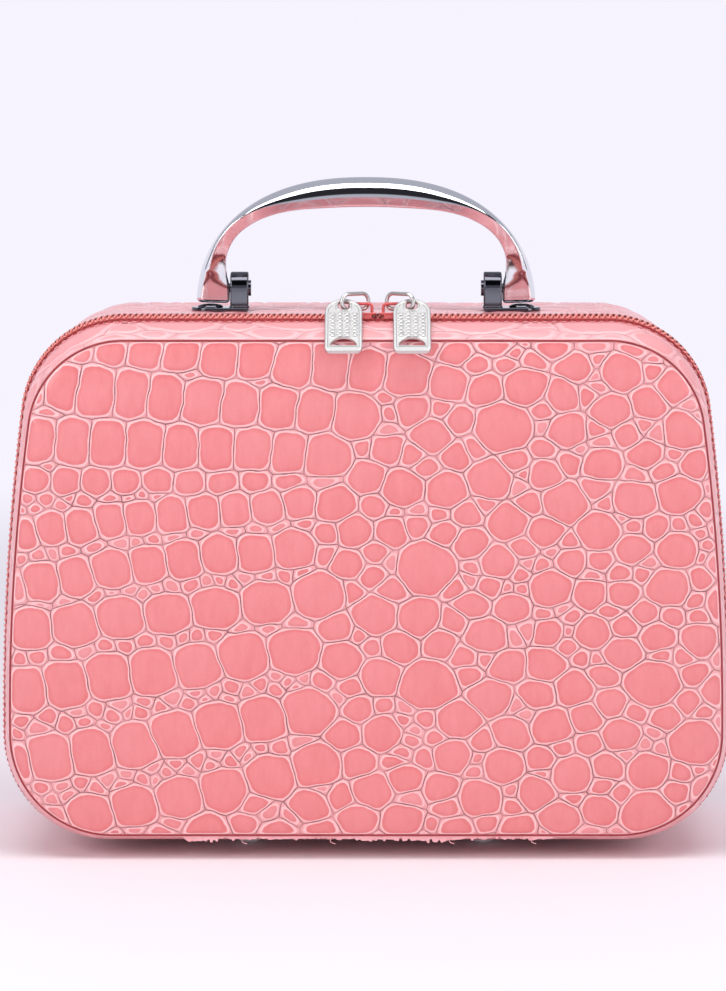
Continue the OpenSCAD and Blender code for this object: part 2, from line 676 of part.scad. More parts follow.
module pull_tab(side) color(nickel) {
    slot_w = 8;
    slot_h = 3.2;
    slot_in = 2.4; // from the tab's lower edge to the slot
    eye_round = 1.2;
    translate([slider_x[side > 0 ? 1 : 0] + side * (link_x - eye_shift), zip_y + link_y, link_z])
        rotate([90 - tab_lean, 0, 0])
        translate([0, 0, -tab_t / 2]) difference() {
            linear_extrude(tab_t) polygon(tab_outline());
            translate([0, 0, -1]) linear_extrude(tab_t + 2) polygon(round_rect(tab_eye, tab_eye, eye_round));
            translate([0, tab_head - tab_l + slot_in + slot_h / 2, -1]) linear_extrude(tab_t + 2)
                polygon(round_rect(slot_w, slot_h, 1));
        }
}

back_panel();
body_gusset();
body_board();
body_lining();
zip_tape(1);  // body_zip_tape
zip_coil(1);  // body_zip_coil
lid_front_panel();
lid_gusset();
lid_board();
lid_lining();
zip_tape(-1);  // lid_zip_tape
zip_coil(-1);  // lid_zip_coil
hinge_strip();
mirror();
mirror_frame();
elastic_loops();
ground_studs();
stud_washers();
bracket(-1);  // bracket_left
bracket(1);  // bracket_right
bracket_rivets();
backing_plates();
pivot_pins();
handle();
slider(-1);  // slider_left
pull_ring(-1);  // pull_ring_left
pull_tab(-1);  // pull_tab_left
slider(1);  // slider_right
pull_ring(1);  // pull_ring_right
pull_tab(1);  // pull_tab_right
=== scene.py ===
"""Looks of the makeup train case, built around its CAD frame.

The embossed leathercloth, zip, chrome and pulls are modelled here, in the frame's own place and size; the
lining gets cloth.
Lengths are in millimetres until a mesh is made, when they become metres.
"""

import math
from contextlib import contextmanager

import bmesh
import bpy
import numpy as np
from mathutils import Matrix, Vector


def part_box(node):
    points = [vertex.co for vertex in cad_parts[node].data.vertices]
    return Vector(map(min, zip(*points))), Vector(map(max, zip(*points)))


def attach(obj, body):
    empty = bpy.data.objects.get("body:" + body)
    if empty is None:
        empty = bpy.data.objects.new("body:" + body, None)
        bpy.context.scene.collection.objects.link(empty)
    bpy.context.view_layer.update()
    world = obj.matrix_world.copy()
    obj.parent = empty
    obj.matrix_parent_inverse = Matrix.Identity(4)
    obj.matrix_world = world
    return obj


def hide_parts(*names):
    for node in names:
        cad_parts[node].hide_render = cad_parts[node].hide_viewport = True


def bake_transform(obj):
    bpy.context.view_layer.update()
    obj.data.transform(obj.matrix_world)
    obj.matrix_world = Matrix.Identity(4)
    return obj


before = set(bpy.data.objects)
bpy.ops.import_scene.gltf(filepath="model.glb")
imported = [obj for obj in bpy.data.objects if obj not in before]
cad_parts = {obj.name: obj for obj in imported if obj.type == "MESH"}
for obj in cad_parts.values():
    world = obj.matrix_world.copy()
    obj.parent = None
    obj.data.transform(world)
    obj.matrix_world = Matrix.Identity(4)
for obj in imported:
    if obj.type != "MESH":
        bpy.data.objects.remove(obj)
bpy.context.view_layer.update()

MM = 0.001
rng = np.random.default_rng(7)


# ---- Sizes, from the frame and the case's design ----


def node_box(name):
    """Lowest and highest corners of a CAD node, in millimetres."""
    low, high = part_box(name)
    return np.array(low) / MM, np.array(high) / MM


body_low, body_high = node_box("body_gusset")
panel_low = node_box("lid_front_panel")[0]
back_high = node_box("back_panel")[1]
lid_low = node_box("lid_gusset")[0]
handle_low, handle_high = node_box("handle")

ZIP_WINDOW = 4.4  # from the chain's middle to the leathercloth's edge
CASE_W = body_high[0] - body_low[0]
BASE_Z = body_low[2]
TOP_Z = body_high[2]
ZIP_Y = body_low[1] - ZIP_WINDOW
BODY_D = back_high[1] - ZIP_Y
LID_D = ZIP_Y - lid_low[1] + 0.1
PANEL_CROWN = ZIP_Y - panel_low[1] - LID_D
BOTTOM_R = 34
TOP_R = 33
SIDE_BOW_R = 800
BACK_ROUND = 2.5
ROUND_L = 3 * BACK_ROUND
LID_TOP_DROP = 6
LID_SIDE_INSET = 2.5
LID_BOTTOM_INSET = 3.2
LEATHER_T = 1.0
COIL_HALF_W = 2.9
COIL_OUT = 0.7  # how far the coils stand above the leathercloth
COIL_IN = 1.0
TAPE_IN = 1.05
TAPE_OUT = 1.55
TAPE_W = 10

HANDLE_W = handle_high[0] - handle_low[0]
HANDLE_Y = (handle_low[1] + handle_high[1]) / 2
BOW_H = handle_high[2] - TOP_Z
PIVOT_H = 7.5
FOOT_R = 4.6
FOOT_W = 11
GRIP_DEPTH = handle_high[1] - handle_low[1]


# ---- The case's outer form ----


def draw_in(y):
    f = np.clip((-y - ZIP_WINDOW) / (LID_D - ZIP_WINDOW), 0, 1)
    return f * (1 + f) / 2


def round_in(y):
    return BACK_ROUND * (np.maximum(0, y - BODY_D + ROUND_L) / ROUND_L) ** 2


def outline_sizes(y, t):
    """Half width, bottom and top, and bottom, top and side radii, at y from the zip and t below the surface."""
    f = draw_in(y)
    r = round_in(y) + t
    return (CASE_W / 2 - LID_SIDE_INSET * f - r, BASE_Z + LID_BOTTOM_INSET * f + r,
            TOP_Z - LID_TOP_DROP * f - r, BOTTOM_R - r - f, TOP_R - r - 2 * f, SIDE_BOW_R - r - 80 * f)


def stretch_lengths():
    w, z0, z1, rb, rt, rs = outline_sizes(0.0, 0.0)
    lean = math.asin((z1 - z0 - rb - rt) / (rs - rt))
    cx = w - rs + (rs - rt) * math.cos(lean)
    return np.array([w - rb, rb * math.pi / 2, rs * lean, rt * (math.pi / 2 - lean), cx])


LENGTHS = stretch_lengths()
ENDS = np.cumsum(LENGTHS)
STARTS = ENDS - LENGTHS
ROUND = 2 * ENDS[-1]  # once round the case
CHAIN_START = STARTS[1] + LENGTHS[1] / 2  # the zip ends half way round a bottom corner


def case_point(q, y, t):
    """Point q round the outline from the middle of the bottom, y from the zip and t below the surface."""
    q, y, t = np.broadcast_arrays(np.asarray(q, float), np.asarray(y, float), np.asarray(t, float))
    w, z0, z1, rb, rt, rs = outline_sizes(y, t)
    lean = np.arcsin((z1 - z0 - rb - rt) / (rs - rt))
    cx = w - rs + (rs - rt) * np.cos(lean)
    q = q % ROUND
    left = q > ROUND / 2
    p = np.where(left, ROUND - q, q)
    k = np.clip(np.searchsorted(ENDS, p), 0, 4)
    u = (p - STARTS[k]) / LENGTHS[k]
    a = np.choose(k, [u, -math.pi / 2 * (1 - u), lean * u, lean + (math.pi / 2 - lean) * u, u])
    c, s = np.cos(a), np.sin(a)
    x = np.choose(k, [(w - rb) * u, w - rb + rb * c, w - rs + rs * c, cx + rt * c, cx * (1 - u)])
    z = np.choose(k, [z0, z0 + rb + rb * s, z0 + rb + rs * s, z1 - rt + rt * s, z1])
    return np.stack([np.where(left, -x, x), ZIP_Y + y, z], -1)


def smooth(e0, e1, v):
    f = np.clip((v - e0) / (e1 - e0), 0, 1)
    return f * f * (3 - 2 * f)


# ---- Meshes ----


def mesh_piece(name, points, faces, material, body, slot, sharp=None, attributes=None):
    """A mesh object from points in millimetres, riding on a CAD body."""
    mesh = bpy.data.meshes.new(name)
    mesh.from_pydata((np.asarray(points) * MM).tolist(), [], faces)
    for key, values in (attributes or {}).items():
        mesh.attributes.new(key, "FLOAT", "POINT").data.foreach_set("value", np.asarray(values, np.float32))
    mesh.polygons.foreach_set("use_smooth", [True] * len(mesh.polygons))
    if sharp is not None:
        mesh.set_sharp_from_angle(angle=math.radians(sharp))
    mesh.materials.append(material)
    mesh.update()
    piece = bpy.data.objects.new(name, mesh)
    bpy.context.scene.collection.objects.link(piece)
    if body:
        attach(piece, body)
    return piece


def grid_faces(rows, columns, wrap_rows=False, wrap_columns=False):
    """Quads of a grid of points stored row by row."""
    faces = []
    for j in range(rows if wrap_rows else rows - 1):
        for i in range(columns if wrap_columns else columns - 1):
            a, b = j * columns + i, j * columns + (i + 1) % columns
            c, d = (j + 1) % rows * columns + i, (j + 1) % rows * columns + (i + 1) % columns
            faces.append((a, b, d, c))
    return faces


def capped_faces(rows, columns):
    """Faces of a grid that closes round its columns, with a cap on its first and last row."""
    last = (rows - 1) * columns
    caps = [tuple(range(columns - 1, -1, -1)), tuple(last + i for i in range(columns))]
    return grid_faces(rows, columns, False, True) + caps


def tube(line, radius, sides, up, closed=False, squash=1.0):
    """Points and faces of a tube along a line, with its cross-section set by the direction up."""
    line = np.asarray(line, float)
    if closed:
        ahead, behind = np.roll(line, -1, 0), np.roll(line, 1, 0)
    else:
        ahead, behind = np.vstack([line[1:], line[-1:]]), np.vstack([line[:1], line[:-1]])
    along = ahead - behind
    along /= np.linalg.norm(along, axis=1, keepdims=True)
    side = np.cross(along, np.broadcast_to(up, line.shape))
    side /= np.linalg.norm(side, axis=1, keepdims=True)
    rise = np.cross(side, along)
    a = np.linspace(0, 2 * math.pi, sides, endpoint=False)
    radius = np.broadcast_to(np.asarray(radius, float), len(line))[:, None, None]
    ring = side[:, None] * np.cos(a)[None, :, None] + squash * rise[:, None] * np.sin(a)[None, :, None]
    points = (line[:, None] + radius * ring).reshape(-1, 3)
    return points, grid_faces(len(line), sides, True, True) if closed else capped_faces(len(line), sides)


def joined(parts):
    """Points and faces of several (points, faces) shapes as one."""
    points, faces, count = [], [], 0
    for p, f in parts:
        points.append(np.asarray(p, float))
        faces += [tuple(i + count for i in face) for face in f]
        count += len(p)
    return np.vstack(points), faces


# ---- Materials ----


class Nodes:
    """Short calls for the nodes of a material or a world."""

    def __init__(self, owner):
        owner.use_nodes = True
        self.nodes = owner.node_tree.nodes
        self.links = owner.node_tree.links

    def node(self, kind, inputs=None, **settings):
        made = self.nodes.new("ShaderNode" + kind)
        for key, value in settings.items():
            setattr(made, key, value)
        for key, value in (inputs or {}).items():
            self.put(made.inputs[key], value)
        return made

    def put(self, socket, value):
        if isinstance(value, bpy.types.NodeSocket):
            self.links.new(value, socket)
        else:
            socket.default_value = value

    def math(self, operation, a, b, clamp=False):
        return self.node("Math", {0: a, 1: b}, operation=operation, use_clamp=clamp).outputs[0]

    def attribute(self, name):
        return self.node("Attribute", attribute_name=name).outputs["Fac"]

    def place(self):
        return self.node("TexCoord").outputs["Object"]

    def noise(self, scale, detail=3.0, stretch=(1, 1, 1)):
        mapping = self.node("Mapping", {"Vector": self.place(), "Scale": stretch})
        return self.node("TexNoise", {"Vector": mapping.outputs[0], "Scale": scale,
                                                "Detail": detail}).outputs["Fac"]

    def wave(self, scale, direction, distortion):
        inputs = {"Vector": self.place(), "Scale": scale, "Distortion": distortion}
        return self.node("TexWave", inputs, bands_direction=direction).outputs["Fac"]

    def ramp(self, factor, stops):
        made = self.node("ValToRGB", {"Fac": factor})
        elements = made.color_ramp.elements
        while len(elements) < len(stops):
            elements.new(0.5)
        for element, (position, colour) in zip(elements, stops):
            element.position = position
            element.color = (*colour, 1)
        return made.outputs["Color"]

    def mix(self, factor, a, b):
        """Colour a where factor is 0 and colour b where it is 1."""
        made = self.node("Mix", data_type="RGBA")
        for index, value in ((0, factor), (6, a), (7, b)):
            self.put(made.inputs[index], (*value, 1) if isinstance(value, tuple) else value)
        return made.outputs[2]

    def range(self, value, low, high, start=0.0, end=1.0, kind="LINEAR"):
        """Value from start to end mapped to low to high."""
        inputs = {"Value": value, "From Min": start, "From Max": end, "To Min": low, "To Max": high}
        return self.node("MapRange", inputs, interpolation_type=kind).outputs[0]

    def step(self, value, start, end):
        """0 before start and 1 after end."""
        return self.range(value, 0.0, 1.0, start, end, "SMOOTHSTEP")

    def bump(self, height, distance, strength, **under):
        """A bump, on top of the one given as Normal."""
        return self.node("Bump", {"Height": height, "Distance": distance, "Strength": strength,
                                            **under}).outputs[0]



class Material(Nodes):
    """A Principled material."""

    def __init__(self, name, **sockets):
        self.material = bpy.data.materials.new(name)
        super().__init__(self.material)
        self.shader = self.nodes["Principled BSDF"]
        self.set(**sockets)

    def set(self, **sockets):
        for key, value in sockets.items():
            self.put(self.shader.inputs[key.replace("_", " ")], value)
        return self


# Painted shade in the creases between scales: a thin dark line and a darker band beside it.
CREASE_SHADE = (0.20, 0.08, 0.085)
GAP_SHADE = (0.77, 0.33, 0.345)
RIM = (0.93, 0.60, 0.61)
# Painted shade on the sloping edge of each domed scale.
SCALE_EDGE_SHADE = (0.65, 0.09, 0.095)
SCALE = (0.72, 0.16, 0.165)
FILLER = (0.82, 0.40, 0.42)


def croc_leather():
    """Embossed leathercloth: coral scales, pale rims, painted shade in the creases and on each scale's edge and
    foot.
    """
    m = Material("croc_leather", Coat_Weight=0.5, Coat_Roughness=0.13, Specular_IOR_Level=0.5)
    inset, edge, low, tint = (m.attribute(key) for key in ("inset", "edge", "low", "tint"))
    wobble = m.math("MULTIPLY", m.math("SUBTRACT", m.noise(900, 2), 0.5), 0.25)
    depth = m.math("DIVIDE", m.math("ADD", inset, wobble), 4.0, clamp=True)
    # From the crease inwards: painted crease shade, pale rim, painted edge shade, then the scale's coral.
    colour = m.ramp(depth, [(0.0, GAP_SHADE), (0.05, GAP_SHADE), (0.07, RIM), (0.12, RIM), (0.16, SCALE_EDGE_SHADE),
                            (0.42, SCALE)])
    # Painted shade: each scale darkens towards its foot, inside its rim.
    inside = m.range(inset, 0.0, 1.0, 0.55, 0.85)
    shade = m.math("MULTIPLY", m.math("MULTIPLY", low, inside), 0.6)
    colour = m.mix(shade, colour, (0.74, 0.07, 0.08))
    colour = m.mix(m.range(tint, 0.0, 0.85), colour, FILLER)
    mottle = m.noise(260, 4)
    colour = m.mix(m.range(m.noise(420, 3, (1, 1, 0.35)), 0.0, 0.36), colour, (0.95, 0.36, 0.38))
    grain = m.noise(3200, 3)
    colour = m.mix(m.range(grain, 0.0, 0.16), colour, (0.95, 0.5, 0.5))
    # The thin dark line in each crease is painted shade, broken by noise and fainter on pale scales.
    broken = m.range(m.noise(130, 2), 0.45, 1.0, 0.36, 0.58)
    line = m.range(m.math("ADD", edge, m.math("MULTIPLY", wobble, 0.5)), 1.0, 0.0, 0.06, 0.2)
    faded = m.math("MULTIPLY", broken, m.range(tint, 1.0, 0.35))
    colour = m.mix(m.math("MULTIPLY", line, faded), colour, CREASE_SHADE)
    fine = m.bump(grain, 0.00012, 0.6)
    coarse = m.bump(mottle, 0.0004, 0.35, Normal=fine)
    return m.set(Base_Color=colour, Roughness=m.range(mottle, 0.3, 0.46), Normal=coarse).material


def plain_leather(name, base, dark):
    """Leathercloth without scales, for folds, seams and borders."""
    m = Material(name, Coat_Weight=0.2, Coat_Roughness=0.3)
    grain = m.noise(1800, 4)
    colour = m.mix(m.noise(150, 3), base, dark)
    return m.set(Base_Color=colour, Roughness=m.range(grain, 0.4, 0.6),
                 Normal=m.bump(grain, 0.0002, 0.6)).material


def woven(name, base, dark, scale, roughness=0.8, sheen=0.3):
    """Woven cloth, from two crossing waves and a mottle."""
    m = Material(name, Sheen_Weight=sheen, Sheen_Roughness=0.5)
    warp = m.wave(scale, "X", 0.6)
    weft = m.wave(scale, "Z", 0.6)
    fill = m.wave(scale, "Y", 0.6)
    weave = m.math("MULTIPLY", m.math("MAXIMUM", warp, fill), m.math("ADD", weft, 0.35))
    colour = m.mix(m.range(weave, 0.0, 0.8), dark, base)
    colour = m.mix(m.range(m.noise(90, 3), 0.0, 0.3), colour, dark)
    return m.set(Base_Color=colour, Roughness=m.range(weave, roughness, roughness - 0.15),
                 Normal=m.bump(weave, 0.00015, 0.7)).material


def metal(name, colour, rough_low, rough_high, wear=0.1, bump=0.15):
    """Plated metal with a cloudy finish and faint scratches."""
    m = Material(name, Metallic=1.0)
    cloud = m.noise(120, 4)
    scratch = m.noise(700, 3, (1, 1, 14))
    tone = m.mix(m.range(cloud, 0.0, wear), colour, tuple(0.55 * c for c in colour))
    rough = m.range(m.math("MULTIPLY", cloud, scratch), rough_low, rough_high)
    return m.set(Base_Color=tone, Roughness=rough, Normal=m.bump(scratch, 0.00002, bump)).material


def grained(name, base, dark, scale, rough, bump, detail=3, stretch=(1, 1, 1), **sockets):
    """A surface whose colour, gloss and bumps all follow one noise."""
    m = Material(name, **sockets)
    grain = m.noise(scale, detail, stretch)
    return m.set(Base_Color=m.mix(grain, base, dark), Roughness=m.range(grain, *rough),
                 Normal=m.bump(grain, *bump)).material


def enamel(name, base, dark):
    """Glossy painted metal."""
    return grained(name, base, dark, 300, (0.28, 0.4), (0.00015, 0.2), Coat_Weight=0.8, Coat_Roughness=0.1)


def mirror_glass():
    m = Material("mirror_glass", Metallic=1.0, Coat_Weight=1.0, Coat_Roughness=0.02)
    dust = m.noise(60, 5)
    colour = m.mix(m.range(dust, 0.0, 0.12), (0.86, 0.90, 0.90), (0.60, 0.66, 0.66))
    return m.set(Base_Color=colour, Roughness=m.range(dust, 0.01, 0.07)).material


def elastic_band():
    """Ribbed elastic: fine ribs up and down with a knitted grain."""
    m = Material("elastic_band", Sheen_Weight=0.3)
    ribs = m.wave(700, "Z", 0.3)
    knit = m.wave(420, "X", 1.2)
    height = m.math("ADD", ribs, m.math("MULTIPLY", knit, 0.5))
    colour = m.mix(m.range(height, 0.0, 0.7), (0.50, 0.10, 0.13), (0.80, 0.28, 0.32))
    return m.set(Base_Color=colour, Roughness=m.range(height, 0.8, 0.65),
                 Normal=m.bump(height, 0.0002, 0.8)).material


CROC = croc_leather()
FOLD = plain_leather("leather_fold", (0.90, 0.40, 0.42), (0.80, 0.24, 0.26))
# The front seam's dark red cord is painted shade in the groove between the front panel and the lid band.
SEAM_SHADE = plain_leather("seam_painted_shade", (0.42, 0.03, 0.04), (0.26, 0.015, 0.02))
RAW_EDGE = plain_leather("raw_edge", (0.96, 0.62, 0.64), (0.86, 0.34, 0.36))
THREAD = woven("pink_thread", (0.92, 0.42, 0.44), (0.70, 0.18, 0.20), 1400, 0.7)
RED_THREAD = woven("red_thread", (0.60, 0.05, 0.055), (0.34, 0.015, 0.02), 1400, 0.7)
DARK_THREAD = woven("dark_thread", (0.40, 0.08, 0.08), (0.16, 0.02, 0.02), 1400, 0.7)
TAPE = woven("tape_cloth", (0.72, 0.10, 0.11), (0.45, 0.03, 0.04), 900, 0.75)
LINING = woven("lining_cloth", (0.82, 0.30, 0.34), (0.60, 0.14, 0.18), 620, 0.7, 0.6)
COIL = grained("coil_nylon", (0.95, 0.36, 0.31), (0.80, 0.17, 0.15), 1500, (0.3, 0.5), (0.0001, 0.3),
               Coat_Weight=0.3, Coat_Roughness=0.2)
CHROME = metal("chrome", (0.80, 0.81, 0.84), 0.03, 0.12)
DARK_CHROME = metal("dark_chrome", (0.10, 0.10, 0.12), 0.06, 0.2)
NICKEL = metal("nickel", (0.66, 0.65, 0.63), 0.26, 0.36, 0.1, 0.0)
# The metal studs are painted white: painted reflection of the bright floor.
STUD_PAINTED_REFLECTION = enamel("stud_painted_reflection", (0.92, 0.90, 0.89), (0.80, 0.77, 0.77))
STEEL = metal("zinc_steel", (0.62, 0.63, 0.65), 0.3, 0.5, 0.4)
ENAMEL = enamel("slider_enamel", (0.80, 0.13, 0.12), (0.62, 0.06, 0.06))
CARD = grained("card_board", (0.42, 0.34, 0.24), (0.30, 0.23, 0.15), 1200, (0.75, 0.95), (0.0002, 0.5), 5,
               (1, 1, 3))
GLASS = mirror_glass()
ELASTIC = elastic_band()


# ---- Embossed scales ----


def clip(polygon, a, b, limit):
    """The part of a convex polygon where a*x + b*y <= limit."""
    kept = []
    for (x0, y0), (x1, y1) in zip(polygon, polygon[1:] + polygon[:1]):
        d0, d1 = a * x0 + b * y0 - limit, a * x1 + b * y1 - limit
        if d0 <= 0:
            kept.append((x0, y0))
        if (d0 < 0 < d1) or (d1 < 0 < d0):
            f = d0 / (d0 - d1)
            kept.append((x0 + f * (x1 - x0), y0 + f * (y1 - y0)))
    return kept


def power_cells(seeds, domain):
    """Cells of the power diagram of (x, y, radius) seeds inside a convex domain. A cell may be None."""
    seeds = np.asarray(seeds, float)
    biggest = seeds[:, 2].max() ** 2
    cells = []
    for x, y, r in seeds:
        gap = np.hypot(seeds[:, 0] - x, seeds[:, 1] - y)
        near = np.argsort(gap)[1:48]
        polygon = list(domain)
        for j in near:
            if not polygon:
                break
            far = max(math.hypot(px - x, py - y) for px, py in polygon)
            if (gap[j] ** 2 + r * r - biggest) / (2 * gap[j] + 1e-9) > far:
                break
            ox, oy, other_r = seeds[j]
            limit = (ox * ox + oy * oy - other_r * other_r - x * x - y * y + r * r) / 2
            polygon = clip(polygon, ox - x, oy - y, limit)
        cells.append(polygon if len(polygon) > 2 else None)
    return cells


def scatter(low, high, taken, sizes):
    """Circles scattered between two corners, and clear of those taken. sizes is a list as in FRONT_SCALES."""
    circles = [tuple(c) for c in taken]
    for r0, r1, tries, overlap in sizes:
        spots = np.column_stack([rng.uniform(low[0], high[0], tries), rng.uniform(low[1], high[1], tries),
                                 rng.uniform(r0, r1, tries)])
        for x, y, r in spots:
            near = np.array(circles) if circles else np.zeros((0, 3))
            if len(near) and (np.hypot(near[:, 0] - x, near[:, 1] - y) < (near[:, 2] + r) * overlap).any():
                continue
            circles.append((x, y, r))
    return circles


RING_INSETS = np.array([0.0, 0.12, 0.28, 0.5, 0.8, 1.7])
RING_HEIGHTS = np.array([-0.5, -0.22, -0.04, -0.02, 0.1, 0.24])
RING_SOFTENING = [0, 2, 4, 5, 6, 9]
CENTRE_HEIGHT = 0.32
SHORTEST_EDGE = 0.02
WELD = 0.02


def stretched(cells, factor):
    """Cells made wider by a factor."""
    return [cell and [np.asarray(p) * (factor, 1) for p in cell] for cell in cells]


def wavy(points, amount):
    """Bends a flat pattern a little, so that its creases aren't straight."""
    x, y = points[:, 0], points[:, 1]
    dx = np.sin(x * 0.31 + y * 0.47) + 0.6 * np.sin(y * 0.93 - x * 0.22 + 1.7)
    dx += 0.4 * np.sin(1.7 * x + 1.1 * y)
    dy = np.sin(y * 0.33 - x * 0.41 + 0.6) + 0.6 * np.sin(x * 0.87 + y * 0.25 + 2.9)
    dy += 0.4 * np.sin(1.5 * y - 1.2 * x)
    return np.column_stack([x + amount * dx, y + amount * dy])


def cell_border(cell, step):
    """Corners of a cell, the corners after them, the lengths between them, and points along the border."""
    corners = np.array(cell)
    after = np.roll(corners, -1, 0)
    edge = np.linalg.norm(after - corners, axis=1)
    long = edge > SHORTEST_EDGE
    corners, after, edge = corners[long], after[long], edge[long]
    border = []
    for p, n, length in zip(corners, after, edge):
        pieces = max(1, round(length / step))
        border += [p + (n - p) * i / pieces for i in range(pieces)]
    return corners, after, edge, np.array(border)


def middle_of(border):
    """Signed area and centre of a closed border."""
    x, y = border.T
    cross = x * np.roll(y, -1) - np.roll(x, -1) * y
    area = cross.sum() / 2
    if abs(area) < 0.6:
        return area, border.mean(0)
    sums = [((v + np.roll(v, -1)) * cross).sum() for v in (x, y)]
    return area, np.array(sums) / 6 / area


def scale_rings(border, centre, inner, size):
    """(points, height, inset) of the softened outlines of one scale, from its crease inwards."""
    rings = []
    for inset, height, passes in zip(RING_INSETS * size, RING_HEIGHTS, RING_SOFTENING):
        if inset >= 0.85 * inner:
            break
        ring = centre + (border - centre) * (1 - inset / inner)
        for _ in range(min(passes, len(border) // 4)):
            ring = 0.5 * ring + 0.25 * (np.roll(ring, 1, 0) + np.roll(ring, -1, 0))
        rings.append((ring, height, inset))
    return rings


def scale_mesh(cells, step, down, depth=1.0):
    """Flat points, heights, attributes and faces of the scales that fill a list of cells.

    down is the flat direction towards which a scale's painted shade falls.
    """
    flat, heights, faces = [], [], []
    marks = {"inset": [], "edge": [], "low": [], "tint": []}
    count = 0
    for cell in cells:
        if cell is None:
            continue
        corners, after, edge, border = cell_border(cell, step)
        if len(corners) < 3 or len(border) < 4:
            continue
        area, centre = middle_of(border)
        normal = np.column_stack([after[:, 1] - corners[:, 1], corners[:, 0] - after[:, 0]]) / edge[:, None]
        inner = max(np.abs(((corners - centre) * normal).sum(1)).min(), 0.15)
        size = min(1.0, max(0.4, inner / 2.4))
        reach = np.linalg.norm(border - centre, axis=1).max()
        pale = rng.uniform(0, 0.12) if inner > 2.2 else rng.uniform(0.0, 0.5)
        lift = rng.uniform(0.75, 1.15)
        rings = scale_rings(border, centre, inner, size)
        n = len(border)
        for ring, height, inset in rings:
            flat.append(ring)
            heights.append(np.full(n, (height if height < 0 else height * lift * size) * depth))
            marks["inset"].append(np.full(n, inset))
            marks["edge"].append(np.abs(((corners[None] - ring[:, None]) * normal[None]).sum(2)).min(1))
            # low places the painted shade towards each scale's foot.
            marks["low"].append(np.clip(((ring - centre) @ down) / reach, 0, 1) ** 2)
        flat.append(centre[None])
        heights.append([CENTRE_HEIGHT * lift * size * depth])
        marks["inset"].append([max(inner, rings[-1][2])])
        marks["edge"].append([inner])
        marks["low"].append([0.0])
        marks["tint"].append(np.full(len(rings) * n + 1, pale))
        way = 1 if area > 0 else -1
        last = count + (len(rings) - 1) * n
        for a in range(count, last):
            b = a + 1 if (a + 1 - count) % n else a + 1 - n
            faces.append((a, b, b + n, a + n)[::way])
        faces += [(last + i, last + (i + 1) % n, last + n)[::way] for i in range(n)]
        count = last + n + 1
    return np.vstack(flat), np.concatenate(heights), {k: np.concatenate(v) for k, v in marks.items()}, faces


@contextmanager
def edited(piece):
    """A piece's mesh opened for editing, and written back after it."""
    bm = bmesh.new()
    bm.from_mesh(piece.data)
    yield bm
    bm.to_mesh(piece.data)
    bm.free()


def backed(piece, back_y):
    """Closes a skin with a turned edge and a flat back at back_y."""
    with edited(piece) as bm:
        border = [e for e in bm.edges if len(e.link_faces) == 1]
        made = bmesh.ops.extrude_edge_only(bm, edges=border)["geom"]
        for v in made:
            if isinstance(v, bmesh.types.BMVert):
                v.co.y = back_y * MM
        rim = [e for e in made if isinstance(e, bmesh.types.BMEdge) and len(e.link_faces) == 1]
        bmesh.ops.holes_fill(bm, edges=rim, sides=0)
        bmesh.ops.recalc_face_normals(bm, faces=bm.faces)


def skin(name, points, faces, marks, body, node, back_y=None):
    """A piece of embossed leathercloth that replaces a CAD node, its scales joined along their creases."""
    piece = mesh_piece(name, points, faces, CROC, None, LEATHER, attributes=marks)
    with edited(piece) as bm:
        bmesh.ops.remove_doubles(bm, verts=bm.verts, dist=WELD * MM)
    if back_y is not None:
        backed(piece, back_y)
    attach(piece, body)
    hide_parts(node)
    return piece


LEATHER = "croc_leathercloth"  # label passed along with the leathercloth pieces
SEAM_STEPS = 320  # points along a seam or strip
FLANK_STRETCH = 1.18  # flank scales are this much wider than tall

# Sizes of scales: smallest radius, largest radius, tries and overlap
FRONT_SCALES = [(7.0, 8.0, 20, 1.0), (4.9, 6.0, 700, 1.0), (3.9, 4.8, 3500, 0.99), (2.6, 3.4, 3000, 0.97),
                (1.0, 1.8, 2200, 0.97)]
BACK_SCALES = [(7.5, 9.5, 300, 0.97), (5.5, 7.2, 1500, 0.96), (3.6, 5.0, 3000, 0.95), (1.6, 3.0, 5000, 0.96)]
BODY_SCALES = [(6.5, 8.5, 600, 0.97), (4.5, 6.2, 2500, 0.96), (3.0, 4.2, 5000, 0.95), (1.4, 2.6, 6000, 0.96)]
LID_SCALES = [(4.0, 5.5, 300, 0.97), (2.2, 3.4, 1500, 0.95), (1.2, 1.8, 1500, 0.96)]

# Rows of belly scales on the front, from the top: height at the left edge above the panel's bottom, slope,
# bend, height of a scale, width of a scale, and how far the row runs from the left edge
BELLY_ROWS = [
    (164.0, -0.12, 0.0, 14.0, 10.6, 122), (146.3, -0.088, 0.0, 14.8, 10.9, 116),
    (128.6, -0.045, 0.0, 15.0, 10.9, 106), (115.2, 0.0, 0.0, 8.4, 9.6, 104),
    (97.5, 0.16, -0.0005, 11.8, 9.2, 100), (81.0, 0.2, -0.0007, 13.2, 11.0, 92),
    (66.5, 0.13, -0.0001, 14.2, 14.6, 100), (47.5, 0.14, 0.0, 15.6, 13.4, 92),
    (23.2, 0.2, -0.0002, 15.8, 13.6, 100), (0.5, 0.225, 0.0, 13.8, 13.6, 104),
]


def row_middle(row, s):
    z, slope, bend = row[:3]
    return z + slope * s + bend * s * s


